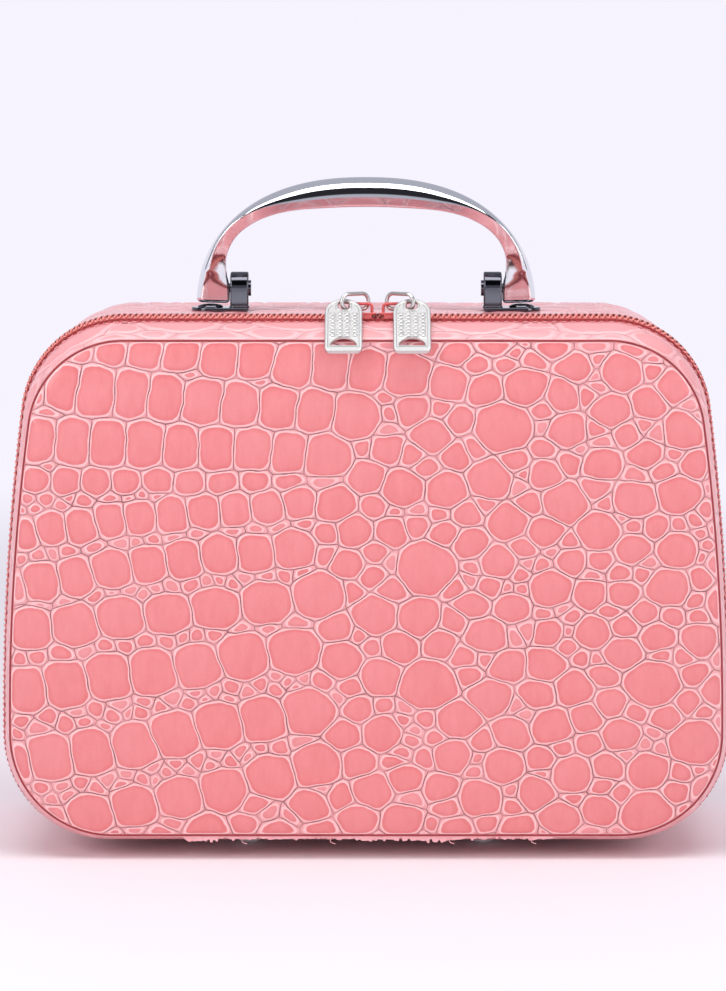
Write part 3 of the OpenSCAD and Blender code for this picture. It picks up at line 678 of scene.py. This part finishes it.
def belly_seeds(left, bottom):
    """Seeds of rows of upright scales, with fillers where two rows stand apart."""
    seeds = []
    for row in BELLY_ROWS:
        tall, wide, run = row[3:]
        s = rng.uniform(-wide, 0)
        while s < run:
            grown = wide * (1 + 0.12 * smooth(0, run, s)) * rng.uniform(0.93, 1.07)
            height = row_middle(row, s + grown / 2) + rng.normal(0, 0.4)
            seeds.append((left + s + grown / 2, bottom + height, tall / 2 * rng.uniform(0.97, 1.03)))
            s += grown
    for row, below in zip(BELLY_ROWS[2:], BELLY_ROWS[3:]):
        s = rng.uniform(0, 4)
        while s < min(row[5], below[5]):
            top, floor = row_middle(row, s) - row[3] / 2, row_middle(below, s) + below[3] / 2
            if top - floor < 0.8:
                s += 3
                continue
            lanes = 2 if top - floor > 4.5 else 1
            for lane in range(lanes):
                z = floor + (top - floor) * (lane + 0.5) / lanes
                r = max(0.5, (top - floor) / 2 / lanes)
                seeds.append((left + s + 3 * lane + rng.normal(0, 0.8), bottom + z, r))
            s += rng.uniform(5, 9.5)
    return seeds


def edge_distance(points, border):
    """Distance of flat points from a closed border."""
    best = np.full(len(points), 1e9)
    for p, q in zip(border, np.roll(border, -1, 0)):
        d = q - p
        f = np.clip(((points - p) @ d) / (d @ d), 0, 1)
        best = np.minimum(best, np.linalg.norm(points - p - f[:, None] * d, axis=1))
    return best


def panel_scales(cells, step, down, wave, rim):
    """Scales of a flat panel, bent by wave except near the rim, and the distance of their points from it."""
    flat, height, marks, faces = scale_mesh(cells, step, np.array(down))
    gap = edge_distance(flat, rim[:, [0, 2]])
    flat = flat + (wavy(flat, wave) - flat) * smooth(0, 5, gap)[:, None]
    return flat, height, marks, faces, gap


def front_panel():
    """The padded front of the lid: rows of belly scales on the left, round flank scales on the right."""
    rim = case_point(np.linspace(0, ROUND, 220, endpoint=False), -LID_D, 0.5)
    domain = [(p[0] / FLANK_STRETCH, p[2]) for p in rim]
    (left, bottom), (right, top) = rim[:, [0, 2]].min(0), rim[:, [0, 2]].max(0)
    rows = [(x / FLANK_STRETCH, z, r) for x, z, r in belly_seeds(left, bottom)]
    seeds = scatter((left / FLANK_STRETCH - 3, bottom - 3), (right / FLANK_STRETCH + 3, top + 3), rows,
                    FRONT_SCALES)
    cells = stretched(power_cells(seeds, domain), FLANK_STRETCH)
    flat, height, marks, faces, gap = panel_scales(cells, 1.1, (0.25, -0.97), 0.17, rim)
    crown = PANEL_CROWN * (1 - np.exp(-gap / 4.2))
    y = ZIP_Y - LID_D - crown - height * (0.35 + 0.65 * smooth(0, 2.5, gap))
    points = np.column_stack([flat[:, 0], y, flat[:, 1]])
    piece = skin("front_panel_skin", points, faces, marks, "lid", "lid_front_panel", ZIP_Y - LID_D + LEATHER_T)


def back_panel():
    """The back of the body, in the same leathercloth."""
    rim = case_point(np.linspace(0, ROUND, 200, endpoint=False), BODY_D, LEATHER_T + 0.3)
    domain = [(p[0], p[2]) for p in rim]
    seeds = scatter(rim[:, [0, 2]].min(0) - 3, rim[:, [0, 2]].max(0) + 3, [], BACK_SCALES)
    cells = power_cells(seeds, domain)
    flat, height, marks, faces, gap = panel_scales(cells, 1.6, (-0.2, -0.98), 0.2, rim)
    y = ZIP_Y + BODY_D - 0.3 * np.exp(-gap / 1.5) + height * (0.3 + 0.5 * smooth(0, 2.5, gap)) - 0.15
    points = np.column_stack([flat[:, 0], y, flat[:, 1]])
    faces = [face[::-1] for face in faces]
    skin("back_panel_skin", points, faces, marks, "case", "back_panel", ZIP_Y + BODY_D - LEATHER_T)


def lid_drop(y):
    """How far the lid's edge beside the zip lies below the body's edge."""
    return 0.7 * smooth(-10, -ZIP_WINDOW, y) * smooth(1, -ZIP_WINDOW, y)


def strip(name, section, q, material, body, slot, closed=False):
    """A strip along the outline at the places q, with a closed cross-section of [y, depth]."""
    y, t = np.array(section, float).T
    points = case_point(q[:, None], y[None], t[None]).reshape(-1, 3)
    faces = grid_faces(len(q), len(y), True, True) if closed else capped_faces(len(q), len(y))
    return mesh_piece(name, points, faces, material, body, slot, 40)


def gusset(node, body, y0, y1, sizes, step, stretch, calm, zip_end):
    """A band of leathercloth right round the case, from y0 to y1, with its edge turned at zip_end.

    Its scales are stretched along the band; calm makes them flatter and paler, in the band's own tone and in
    painted highlight.
    """
    margin = 14
    length = ROUND / stretch
    seeds = scatter((0, y0 - 2), (length, y1 + 2), [], sizes)
    around = [(x - length, y, r) for x, y, r in seeds if x > length - margin]
    around += [(x + length, y, r) for x, y, r in seeds if x < margin]
    domain = [(0, y0), (length, y0), (length, y1), (0, y1)]
    cells = stretched(power_cells(seeds + around, domain), stretch)
    flat, height, marks, faces = scale_mesh(cells, step, np.array([0.0, 1.0]), 0.8)
    gap = np.minimum(flat[:, 1] - y0, y1 - flat[:, 1])
    ends = np.minimum(flat[:, 0], ROUND - flat[:, 0])
    bend = smooth(0, 3, gap) * smooth(0, 3, ends)
    flat = flat + (wavy(flat, 0.2) - flat) * bend[:, None]
    turned = 0.5 * (1 - smooth(0, 1.4, np.abs(flat[:, 1] - zip_end))) + lid_drop(flat[:, 1])
    rise = np.minimum(height * (0.3 + 0.7 * smooth(0, 2, gap)) * (1 - 0.5 * calm), 0.28)
    points = case_point(np.clip(flat[:, 0], 0.0, ROUND - 1e-6), flat[:, 1], turned - rise)
    # The painted shade towards each scale's foot is weaker on the bands.
    marks["low"] = marks["low"] * 0.4
    # The paler tint on the bands is partly their own tone and partly painted highlight.
    marks["tint"] = calm + (1 - calm) * marks["tint"]
    skin(f"{node}_skin", points, faces, marks, body, node)
    y = np.linspace(y0, y1, 12)
    top = np.column_stack([y, 0.62 + 0.2 * (1 - smooth(0, 1.4, np.abs(y - zip_end))) + lid_drop(y)])
    under = np.column_stack([y, LEATHER_T + lid_drop(y)])[::-1]
    q = np.linspace(0, ROUND, SEAM_STEPS, endpoint=False)
    strip(f"{node}_core", np.vstack([top, under]), q, FOLD, body, LEATHER, True)


front_panel()
back_panel()
gusset("body_gusset", "case", ZIP_WINDOW, BODY_D - 0.2, BODY_SCALES, 1.7, 1, 0.45, ZIP_WINDOW)
gusset("lid_gusset", "lid", -LID_D + 0.1, -ZIP_WINDOW, LID_SCALES, 1.3, 3.2, 0.72, -ZIP_WINDOW)


# ---- Zip, seams and hinge ----

CHAIN_PITCH = 1.85
CHAIN_LEAN = 0.2  # rise of the chain towards the body, per millimetre


def seam_line(name, y, t, radius, material, body, slot, q0=0.0, q1=ROUND, beads=0.0):
    """A cord of thread or piping along the outline; beads is the length of its twist, if it shows."""
    closed = q1 - q0 > ROUND - 1
    steps = SEAM_STEPS if not beads else int((q1 - q0) / beads * 6)
    q = np.linspace(q0, q1, steps, endpoint=not closed)
    r = radius if not beads else radius * (0.72 + 0.28 * np.cos(np.arange(steps) * math.pi / 3))
    line = case_point(q, y, t)
    points, faces = tube(line, r, 8, (0, 1, 0), closed)
    return mesh_piece(name, points, faces, material, body, slot)


def stitches(name, y, body):
    """A row of sewn stitches through the leathercloth beside the zip."""
    length, space, r = 2.1, 0.95, 0.3
    parts = []
    q = CHAIN_START
    while q < ROUND - CHAIN_START:
        depth = np.array([0.25, -0.12, -0.2, -0.12, 0.25]) + lid_drop(y)
        line = case_point(q + np.array([0, 0.2, 0.5, 0.8, 1]) * length, y, depth)
        parts.append(tube(line, [0.5 * r, r, r, r, 0.5 * r], 6, (0, 1, 0)))
        q += length + space
    points, faces = joined(parts)
    return mesh_piece(name, points, faces, THREAD, body, LEATHER)


def zip_half(side, half, body):
    """A tape with its row of coiled teeth and the threads that hold it, on the body (1) or the lid (-1).

    The chain leans towards the lid, and on the body the sewn ridge beside it stands up.
    """
    if side > 0:
        over = [(0.5, 1.0), (2.0, 0.75), (3.0, 0.5), (3.9, -0.1), (4.35, -0.35), (4.8, 0.1)]
    else:
        over = [(0.5, 1.1), (2.0, 1.2), (3.1, 0.8), (3.6, 0.6), (4.1, 0.9), (5.0, 1.75), (6.5, 1.7)]
    over.append((TAPE_W, TAPE_IN))
    under = [(y, t + TAPE_OUT - TAPE_IN) for y, t in over[::-1]]
    section = [(side * y, t) for y, t in over + under]
    q0, q1 = CHAIN_START, ROUND - CHAIN_START
    tape_q = np.linspace(q0, q1, SEAM_STEPS)
    tape = strip(f"{half}_tape", section[::-side], tape_q, TAPE, body, "zip_tape")
    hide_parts(f"{half}_zip_tape")
    turns = int((q1 - q0) / CHAIN_PITCH)
    per_turn = 14
    a = np.arange(turns * per_turn + 1) / per_turn * 2 * math.pi
    q = q0 + CHAIN_PITCH * (a / (2 * math.pi) + (0.5 if side > 0 else 0.0))
    middle, reach = (0.25 + COIL_HALF_W) / 2, (COIL_HALF_W - 0.25) / 2 - 0.4
    y = side * (middle + reach * np.cos(a))
    t = (COIL_IN - COIL_OUT) / 2 - CHAIN_LEAN * y - 0.52 * np.sin(a)
    along = case_point(q + 0.5, 0, 0) - case_point(q - 0.5, 0, 0)
    points, faces = tube(case_point(q, y, t), 0.4, 6, along)
    coil = mesh_piece(f"{half}_coil_teeth", points, faces, COIL, body, "zip_coil")
    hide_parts(f"{half}_zip_coil")
    thread, row, depth = (DARK_THREAD, 4.35, -0.62) if side > 0 else (RED_THREAD, -3.6, 0.3)
    seam_line(f"{half}_coil_thread", row, depth, 0.46, thread, body, "zip_tape", q0, q1, CHAIN_PITCH)
    stitches(f"{half}_zip_stitches", side * (ZIP_WINDOW + 1.7), body)


zip_half(1, "body", "case")
zip_half(-1, "lid", "lid")
# A thin dark cord of painted shade in the groove of the front seam.
seam_line("front_seam_shade_cord", -LID_D + 0.02, 0.32, 0.26, SEAM_SHADE, "lid", LEATHER)
seam_line("back_seam", BODY_D - 0.25, 0.55, 0.5, FOLD, "case", LEATHER)


def loose_edge():
    """The raw edge of leathercloth that hangs below the front seam, with a few threads."""
    steps, thick = 420, 0.45
    x = np.linspace(-61, 63, steps)
    level = 0.8 * np.sin(x / 11.0 + 0.4) + 0.5 * np.sin(x / 4.3 + 2.0) + 0.25 * np.sin(x / 1.7)
    ragged = np.repeat(rng.normal(0, 0.28, steps // 3), 3)
    hang = 1.35 + 0.42 * level + ragged
    hang *= smooth(-61, -57, x) * (1 - smooth(59, 63, x))
    top = BASE_Z + LID_BOTTOM_INSET + 0.25
    front = ZIP_Y - LID_D + 0.5
    rows = []
    for side, drop in ((0, 0.0), (0, 0.6), (0, 1.0), (1, 1.0), (1, 0.6), (1, 0.0)):
        y = front + thick * side + 0.5 * drop + 0.12 * np.sin(x / 2.3 + drop)
        rows.append(np.column_stack([x, y, top - drop * (hang + 0.2)]))
    points = np.stack(rows, 1).reshape(-1, 3)
    parts = [(points, capped_faces(steps, len(rows)))]
    for start in (-41.0, -12.5, 26.0, 52.5):
        w = np.linspace(0, 1, 12)
        line = np.column_stack([start + 2.2 * w + 0.5 * np.sin(7 * w), np.full(12, front - 0.05),
                                top - 1.3 - 1.1 * w + 0.4 * np.sin(5 * w)])
        parts.append(tube(line, 0.12, 6, (0, 1, 0)))
    mesh_piece("loose_edge", *joined(parts), RAW_EDGE, "lid", LEATHER, 40)


loose_edge()


def hinge_strip():
    """The soft strip under the case, between the body and the lid."""
    edge = ZIP_WINDOW - 0.2
    across = np.linspace(-edge, edge, 13)
    section = [(y, 0.12 + 0.1 * math.cos(5 * y)) for y in across] + [(y, LEATHER_T) for y in across[::-1]]
    q = np.linspace(-CHAIN_START, CHAIN_START, 90)
    piece = strip("hinge_leather", section[::-1], q, FOLD, None, LEATHER)
    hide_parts("hinge_strip")
    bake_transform(piece)


hinge_strip()


# ---- Plates with rounded edges ----


def slab(loops, thickness, bevel):
    """Points and faces of a plate in the XY plane, with holes and rounded edges, its middle at z = 0."""
    curve = bpy.data.curves.new("slab", "CURVE")
    curve.dimensions = "2D"
    curve.fill_mode = "BOTH"
    curve.extrude = thickness / 2 - bevel
    curve.bevel_depth = bevel
    curve.bevel_resolution = 2
    curve.offset = -bevel
    for loop in loops:
        spline = curve.splines.new("POLY")
        spline.points.add(len(loop) - 1)
        spline.points.foreach_set("co", [v for x, y in loop for v in (x, y, 0, 1)])
        spline.use_cyclic_u = True
    holder = bpy.data.objects.new("slab", curve)
    bpy.context.scene.collection.objects.link(holder)
    bpy.context.view_layer.update()
    mesh = bpy.data.meshes.new_from_object(holder.evaluated_get(bpy.context.evaluated_depsgraph_get()))
    points = np.array([v.co for v in mesh.vertices], float)
    faces = [tuple(p.vertices) for p in mesh.polygons]
    bpy.data.objects.remove(holder)
    bpy.data.curves.remove(curve)
    bpy.data.meshes.remove(mesh)
    return points, faces


def placed(shape, matrix):
    """A (points, faces) shape moved by a 4 by 4 matrix in millimetres."""
    points, faces = shape
    m = np.array(matrix)
    moved = np.asarray(points) @ m[:3, :3].T + m[:3, 3]
    if np.linalg.det(m[:3, :3]) < 0:
        faces = [f[::-1] for f in faces]
    return moved, faces


def move(x, y, z):
    return Matrix.Translation((x, y, z))


def turn(degrees, axis):
    return Matrix.Rotation(math.radians(degrees), 4, axis)


def arc(x, y, r, a0, a1, steps=8):
    """Points on an arc, with its angles in degrees."""
    angles = np.radians(np.linspace(a0, a1, steps + 1))
    return [(x + r * math.cos(a), y + r * math.sin(a)) for a in angles]


def round_box(w, h, r, x=0.0, y=0.0):
    corners = [(1, 1, 0), (-1, 1, 90), (-1, -1, 180), (1, -1, 270)]
    return [p for sx, sy, a in corners
            for p in arc(x + sx * (w / 2 - r), y + sy * (h / 2 - r), r, a, a + 90, 6)]


# ---- Handle and its brackets ----

BOW_POWER = 2.3
FOOT_END = PIVOT_H - FOOT_R
FOOT_ROUND = 1.5
LUG_OUT = HANDLE_W / 2 - FOOT_W - 0.3
LUG_IN = LUG_OUT - 6
RIVET_X = HANDLE_W / 2 - 4.6
EDGE_W, EDGE_H = 0.16, 0.14  # rounding of the inner face's edges, as shares of the section's half sizes
# Thickness of the handle at distances from its middle
THICK_AT = np.array([0, 12, 18, 27, 35, 42.4, 47.0, 51.5, 54.0, 55.3, 56])
THICKNESS = np.array([9.9, 9.7, 9.2, 7.8, 6.4, 5.3, 5.0, 6.1, 8.6, 10.6, 11])


def bow_point(a):
    c, s = np.cos(a), np.sin(a)
    power = 2 / BOW_POWER
    return np.stack([HANDLE_W / 2 * np.sign(c) * np.abs(c) ** power, BOW_H * s ** power], -1)


def evened(values, passes):
    for _ in range(passes):
        inner = 0.25 * (values[:-2] + values[2:]) + 0.5 * values[1:-1]
        values = np.concatenate([values[:1], inner, values[-1:]])
    return values


def handle():
    """The chrome bail: a rounded grip above, flat-faced legs below, and feet with rounded ends."""
    low_z = FOOT_END + FOOT_ROUND * (1 - np.cos(np.linspace(0, math.pi / 2, 7)))
    low_z = np.concatenate([low_z, np.linspace(FOOT_END + FOOT_ROUND + 0.4, 14, 22)])
    low_a = np.arcsin((low_z / BOW_H) ** (BOW_POWER / 2))
    a = np.concatenate([low_a, np.linspace(low_a[-1], math.pi - low_a[-1], 130)[1:-1], math.pi - low_a[::-1]])
    outer = bow_point(a)
    h, x = outer[:, 1], np.abs(outer[:, 0])
    along = bow_point(a + 0.002) - bow_point(a - 0.002)
    normal = np.column_stack([along[:, 1], -along[:, 0]]) / np.linalg.norm(along, axis=1, keepdims=True)
    short = FOOT_ROUND - np.minimum(h - FOOT_END, FOOT_ROUND)
    cut = FOOT_ROUND - np.sqrt(np.maximum(FOOT_ROUND ** 2 - short ** 2, 0))
    thick = evened(np.interp(x, THICK_AT, THICKNESS), 12)
    deep = evened(5.4 + (GRIP_DEPTH - 5.4) * np.clip((h - 5) / 23, 0, 1), 12)
    leg = smooth(22, 50, x)  # 0 on the grip and 1 on the legs
    turn_at = -0.3 + 0.8 * leg  # where the round back of the section meets its front face
    narrow = 0.40 + 0.16 * leg  # half width of the inner side
    outer = outer - normal * cut[:, None]
    thick, deep = thick - 2 * cut, deep - 2 * cut
    back = np.linspace(0, math.pi / 2, 15)[:, None]
    flank = np.linspace(0, 1, 8)[1:, None]
    corner = np.array([0.25, 0.5, 0.75, 1.0])[:, None]
    v = np.vstack([np.sin(back) + 0 * leg, 1 + (narrow - 1) * flank, narrow - EDGE_W * corner ** 1.5,
                   (narrow - EDGE_W) * np.array([[0.6], [0.2]])])
    u = np.vstack([turn_at + (1 - turn_at) * np.cos(back), turn_at + (EDGE_H - 1 - turn_at) * flank,
                   EDGE_H - 1 - EDGE_H * (1 - (1 - corner) ** 1.5) + 0 * leg, np.full((2, len(a)), -1.0)])
    v, u = np.vstack([v, -v[:0:-1]]), np.vstack([u, u[:0:-1]])
    middle = outer - normal * thick[:, None] / 2
    flat = middle[:, None] + normal[:, None] * (u.T * thick[:, None] / 2)[..., None]
    points = np.stack([flat[..., 0], HANDLE_Y + v.T * deep[:, None] / 2, TOP_Z + flat[..., 1]], -1)
    faces = capped_faces(*points.shape[:2])
    piece = mesh_piece("handle_bail", points.reshape(-1, 3), faces, CHROME, "handle", "chrome_plate", 50)
    with edited(piece) as bm:
        bmesh.ops.recalc_face_normals(bm, faces=bm.faces)
    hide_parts("handle")


def bracket(side, name):
    """A foot plate with a rounded end under the rivet, and an upright lug for the pivot pin."""
    plate_l = RIVET_X - LUG_IN
    plate = arc(plate_l, 0, 6.2, -80, 80, 20) + arc(1.2, 5.0, 1, 90, 180, 5) + arc(1.2, -5.0, 1, 180, 270, 5)
    lug = arc(0, 7.8, 5.1, 0, 180, 24) + [(-5.0, 0.1), (5.0, 0.1)]
    hole = arc(0, PIVOT_H, 1.5, 0, 345, 23)
    lug_x = (LUG_IN + LUG_OUT) / 2
    parts = [placed(slab([plate], 1.3, 0.35), move(LUG_IN, 0, 0.65)),
             placed(slab([lug, hole], 6, 0.55), move(lug_x, 0, 0) @ turn(90, "Z") @ turn(90, "X")),
             placed(slab([round_box(6.6, 11.2, 1.5)], 1.0, 0.4), move(lug_x, 0, 1.5))]
    where = move(0, HANDLE_Y, TOP_Z) @ Matrix.Diagonal((side, 1, 1, 1))
    shape = placed(joined(parts), where)
    piece = mesh_piece(f"{name}_plated", *shape, DARK_CHROME, "case", "chrome_plate", 40)
    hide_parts(name)


handle()
bracket(-1, "bracket_left")
bracket(1, "bracket_right")


# ---- Sliders, pull rings and pull tabs ----

SLIDER_L = 10
SLIDER_HALF_W = 3.9
SLIDER_MEET = 3.7
SLIDER_GAP = 0.8
RING_SHIFT = 2.2
RING_STRAIGHT = 5.4
RING_END_R = 2.5
WIRE_R = 0.65
RING_TURN = 35
TAB_W, TAB_L, TAB_T = 12, 24, 1.4
TAB_HEAD = 3.05  # from the eye's middle to the tab's upper edge
RING_UP = COIL_OUT + 0.2 + 1.0 + WIRE_R + 0.2  # the ring's lower side above the case's top
SLIDER_TOP = 1.22  # underside of a slider's top plate, above the case's top
LINK_ANGLE = math.radians(35)
LINK_OUT = RING_SHIFT + RING_STRAIGHT / 2 + RING_END_R * math.cos(LINK_ANGLE)
LINK_UP = RING_UP + RING_END_R * (1 - math.sin(LINK_ANGLE))


def slider_place(side):
    x = SLIDER_MEET + side * (SLIDER_GAP + SLIDER_L) / 2
    return move(x, ZIP_Y, TOP_Z) @ Matrix.Diagonal((side, 1, 1, 1))


def slider(side, name):
    """Enamelled slider: two plates joined by a thin divider, a lip over the lid's teeth and a bridge."""
    l, w = SLIDER_L / 2, SLIDER_HALF_W
    half = arc(-l + 1.4, w - 1.4, 1.4, 180, 90, 6) + [(-1.5, w)] + arc(l - 1.6, w - 2.4, 1.6, 80, 0, 8)
    outline = [(x, -y) for x, y in half] + half[::-1]
    top, under = slab([outline], 0.65, 0.28), slab([outline], 0.9, 0.35)
    divider = slab([round_box(2.0, 0.4, 0.15)], 3.6, 0.05)
    lip = slab([round_box(SLIDER_L - 4.6, 0.7, 0.3)], 1.7, 0.2)
    post = SLIDER_L / 2 - 1.4
    foot, roof = SLIDER_TOP + 0.4, COIL_OUT + 0.2 + 3.6
    path = ([(-post, foot)] + arc(-post + 1.2, roof - 1.2, 1.2, 180, 90, 6)
            + arc(post - 1.2, roof - 1.2, 1.2, 90, 0, 6) + [(post, foot)])
    bridge = tube([(x, 0, z) for x, z in path], 0.5, 10, (0, 1, 0), squash=1.15)
    parts = [placed(top, move(0, 0, SLIDER_TOP + 0.33)), placed(under, move(0, 0, -TAPE_OUT - 0.8)),
             placed(divider, move(-l + 1.3, 0, 0.05)), placed(lip, move(-0.8, -w + 0.4, 0.6)), bridge]
    piece = mesh_piece(f"{name}_enamelled", *placed(joined(parts), slider_place(side)), ENAMEL, name,
                       "slider_enamel", 40)
    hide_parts(name)


def pull_ring(side, name):
    """A loop of wire under the slider's bridge."""
    ends = [(RING_SHIFT + RING_STRAIGHT / 2, -90), (RING_SHIFT - RING_STRAIGHT / 2, 90)]
    path = [p for x, a in ends for p in arc(x, RING_END_R, RING_END_R, a, a + 180, 16)]
    ring = tube([(x, 0, z) for x, z in path], WIRE_R, 14, (0, 1, 0), True)
    where = slider_place(side) @ move(0, 0, RING_UP) @ turn(-RING_TURN, "Z")
    piece = mesh_piece(f"{name}_wire", *placed(ring, where), NICKEL, name, "nickel_plate")
    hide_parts(name)


def pillow(x, y, w, h, rise):
    """A low rounded bump on a plate's face."""
    n = 7
    g = np.linspace(-1, 1, n)
    gx, gy = np.meshgrid(g, g)
    height = rise * (1 - gx ** 4) * (1 - gy ** 4)
    points = np.column_stack([(x + gx * w / 2).ravel(), (y + gy * h / 2).ravel(), height.ravel()])
    return points, grid_faces(n, n)


def pull_tab(side, name):
    """A stamped tab: raised border, ridges cut across into pillows, dotted grooves and a D-shaped slot."""
    r, low = TAB_W / 2, TAB_HEAD - TAB_L

    def outline(inset):
        return (arc(0, TAB_HEAD - r, r - inset, 0, 180, 24) + arc(-r + 2, low + 2, 2 - inset, 180, 270, 6)
                + arc(r - 2, low + 2, 2 - inset, 270, 360, 6))

    eye = round_box(3.7, 3.7, 1.2)
    sill = low + 2.3  # the slot's straight side
    slot = [(x, sill + (y - sill) * 1.02) for x, y in arc(0, sill, 4.2, 6, 174, 16)]
    around_slot = [(x * 1.14, sill - 0.3 + (y - sill) * 1.16) for x, y in slot]
    face = TAB_T / 2
    plate = slab([outline(0.0), eye, slot], TAB_T - 0.3, 0.35)
    border = slab([outline(0.05), outline(1.15)], 0.7, 0.25)
    slot_rim = slab([around_slot, slot], 0.6, 0.22)
    eye_rim = slab([round_box(5.2, 5.2, 1.9), eye], 0.6, 0.22)
    parts = [placed(plate, move(0, 0, -0.15)), placed(border, move(0, 0, face - 0.3)),
             placed(slot_rim, move(0, 0, face - 0.35)), placed(eye_rim, move(0, 0, face - 0.35))]
    rows, columns, pitch_x, pitch_y, dot_x = 7, 4, 2.35, 1.6, 1.17
    on_face = move(0, 0, face - 0.32)
    for i in range(columns):
        x = (i - (columns - 1) / 2) * pitch_x
        for j in range(rows):
            y = -4.0 - j * pitch_y
            parts.append(placed(pillow(x, y, 1.85, 1.45, 0.42), on_face))
            if i < columns - 1:
                parts.append(placed(pillow(x + dot_x, y - pitch_y / 2, 0.5, 0.5, 0.3), on_face))
    lean_out = LID_D + 0.6 - LINK_OUT * math.sin(math.radians(RING_TURN))
    lean_down = LINK_UP + LID_TOP_DROP
    lean = math.atan2(lean_out, lean_down) + math.asin(TAB_T / 2 / math.hypot(lean_out, lean_down))
    out = math.radians(RING_TURN)
    place = move(LINK_OUT * math.cos(out) - 0.2, -LINK_OUT * math.sin(out), LINK_UP)
    where = slider_place(side) @ place @ turn(90 - math.degrees(lean), "X")
    piece = mesh_piece(f"{name}_stamped", *placed(joined(parts), where), NICKEL, name, "nickel_plate", 40)
    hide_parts(name)


for side, label in ((-1, "left"), (1, "right")):
    slider(side, f"slider_{label}")
    pull_ring(side, f"pull_ring_{label}")
    pull_tab(side, f"pull_tab_{label}")


# ---- Finishes of the CAD nodes that stay ----

FINISHES = {
    "body_board": CARD, "lid_board": CARD, "body_lining": LINING, "lid_lining": LINING, "mirror": GLASS,
    "mirror_frame": FOLD, "elastic_loops": ELASTIC, "ground_studs": STUD_PAINTED_REFLECTION, "stud_washers": STEEL,
    "bracket_rivets": DARK_CHROME, "backing_plates": STEEL, "pivot_pins": DARK_CHROME,
}
for node, finish in FINISHES.items():
    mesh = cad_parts[node].data
    mesh.materials.clear()
    mesh.materials.append(finish)


# ---- Camera, lights and floor ----

BACKDROP = (0.925, 0.90, 1.0)
FLOOR_HALF = 15  # metres
# Name, place and size in metres, and power in watts
LAMPS = [("key", (-1.0, -1.0, 0.75), (0.6, 1.0), 9.4), ("fill", (1.1, -0.9, 0.6), (0.6, 1.0), 7.0),
         ("top", (0.0, -0.3, 1.1), (1.2, 0.5), 8.2), ("low", (0.0, -1.3, 0.1), (1.6, 0.12), 0.6)]


def studio():
    scene = bpy.context.scene
    scene.view_settings.view_transform = "Standard"
    scene.view_settings.look = "None"
    scene.view_settings.exposure = 0
    camera = bpy.data.cameras.new("camera")
    camera.sensor_fit = "HORIZONTAL"
    camera.sensor_width = 36
    camera.lens = 172.2
    camera.clip_end = 60
    seen = bpy.data.objects.new("camera", camera)
    seen.location = Vector((-1.0, -1142.8, 255.7)) * MM
    seen.rotation_euler = (math.radians(90 - 7.1), 0, 0)
    scene.collection.objects.link(seen)
    scene.camera = seen

    scene.world = bpy.data.worlds.new("studio")
    w = Nodes(scene.world)
    background = w.nodes["Background"]
    direction = w.node("TexCoord").outputs["Generated"]
    across, back, up = w.node("SeparateXYZ", {0: direction}).outputs
    middle = w.math("MULTIPLY", w.step(across, 0.55, 0.35), w.step(across, -0.55, -0.35))
    low_front = w.math("MULTIPLY", w.step(up, 0.34, 0.2), middle)
    front = w.math("MULTIPLY", w.step(back, 0.05, -0.2), w.step(up, 0.95, 0.88))
    dark = w.math("MULTIPLY", front, w.math("SUBTRACT", 1.0, low_front))
    far_wall = w.math("MULTIPLY", w.step(up, 0.36, 0.2), w.step(back, -0.1, 0.1))
    shade = w.mix(dark, (0.50, 0.51, 0.58), (0.025, 0.025, 0.03))
    w.put(background.inputs["Color"], w.mix(far_wall, shade, BACKDROP))
    background.inputs["Strength"].default_value = 1

    for name, place, size, power in LAMPS:
        light = bpy.data.lights.new(name, "AREA")
        light.shape = "RECTANGLE"
        light.size, light.size_y = size
        light.energy = power
        lamp = bpy.data.objects.new(name, light)
        lamp.location = place
        aim = Vector((0, 0, 0.09)) - Vector(place)
        lamp.rotation_euler = aim.to_track_quat("-Z", "Y").to_euler()
        scene.collection.objects.link(lamp)

    m = Material("floor")
    away = m.node("VectorMath", {0: m.place()}, operation="LENGTH").outputs["Value"]
    far = m.step(away, 0.3, 1.1)
    ground = m.mix(m.range(m.noise(3, 2), 0, 0.3), (0.93, 0.86, 0.90), (0.91, 0.845, 0.89))
    m.set(Base_Color=m.mix(far, ground, (0, 0, 0)), Roughness=m.range(m.noise(40, 2), 0.5, 0.6),
          Specular_IOR_Level=m.range(far, 0.2, 0.0), Emission_Color=m.mix(far, (0, 0, 0), BACKDROP))
    m.shader.inputs["Emission Strength"].default_value = 1
    mesh = bpy.data.meshes.new("floor")
    sides = (-FLOOR_HALF, FLOOR_HALF)
    mesh.from_pydata([(x, y, 0) for y in sides for x in sides], [], grid_faces(2, 2))
    mesh.materials.append(m.material)
    floor = bpy.data.objects.new("floor", mesh)
    scene.collection.objects.link(floor)


studio()
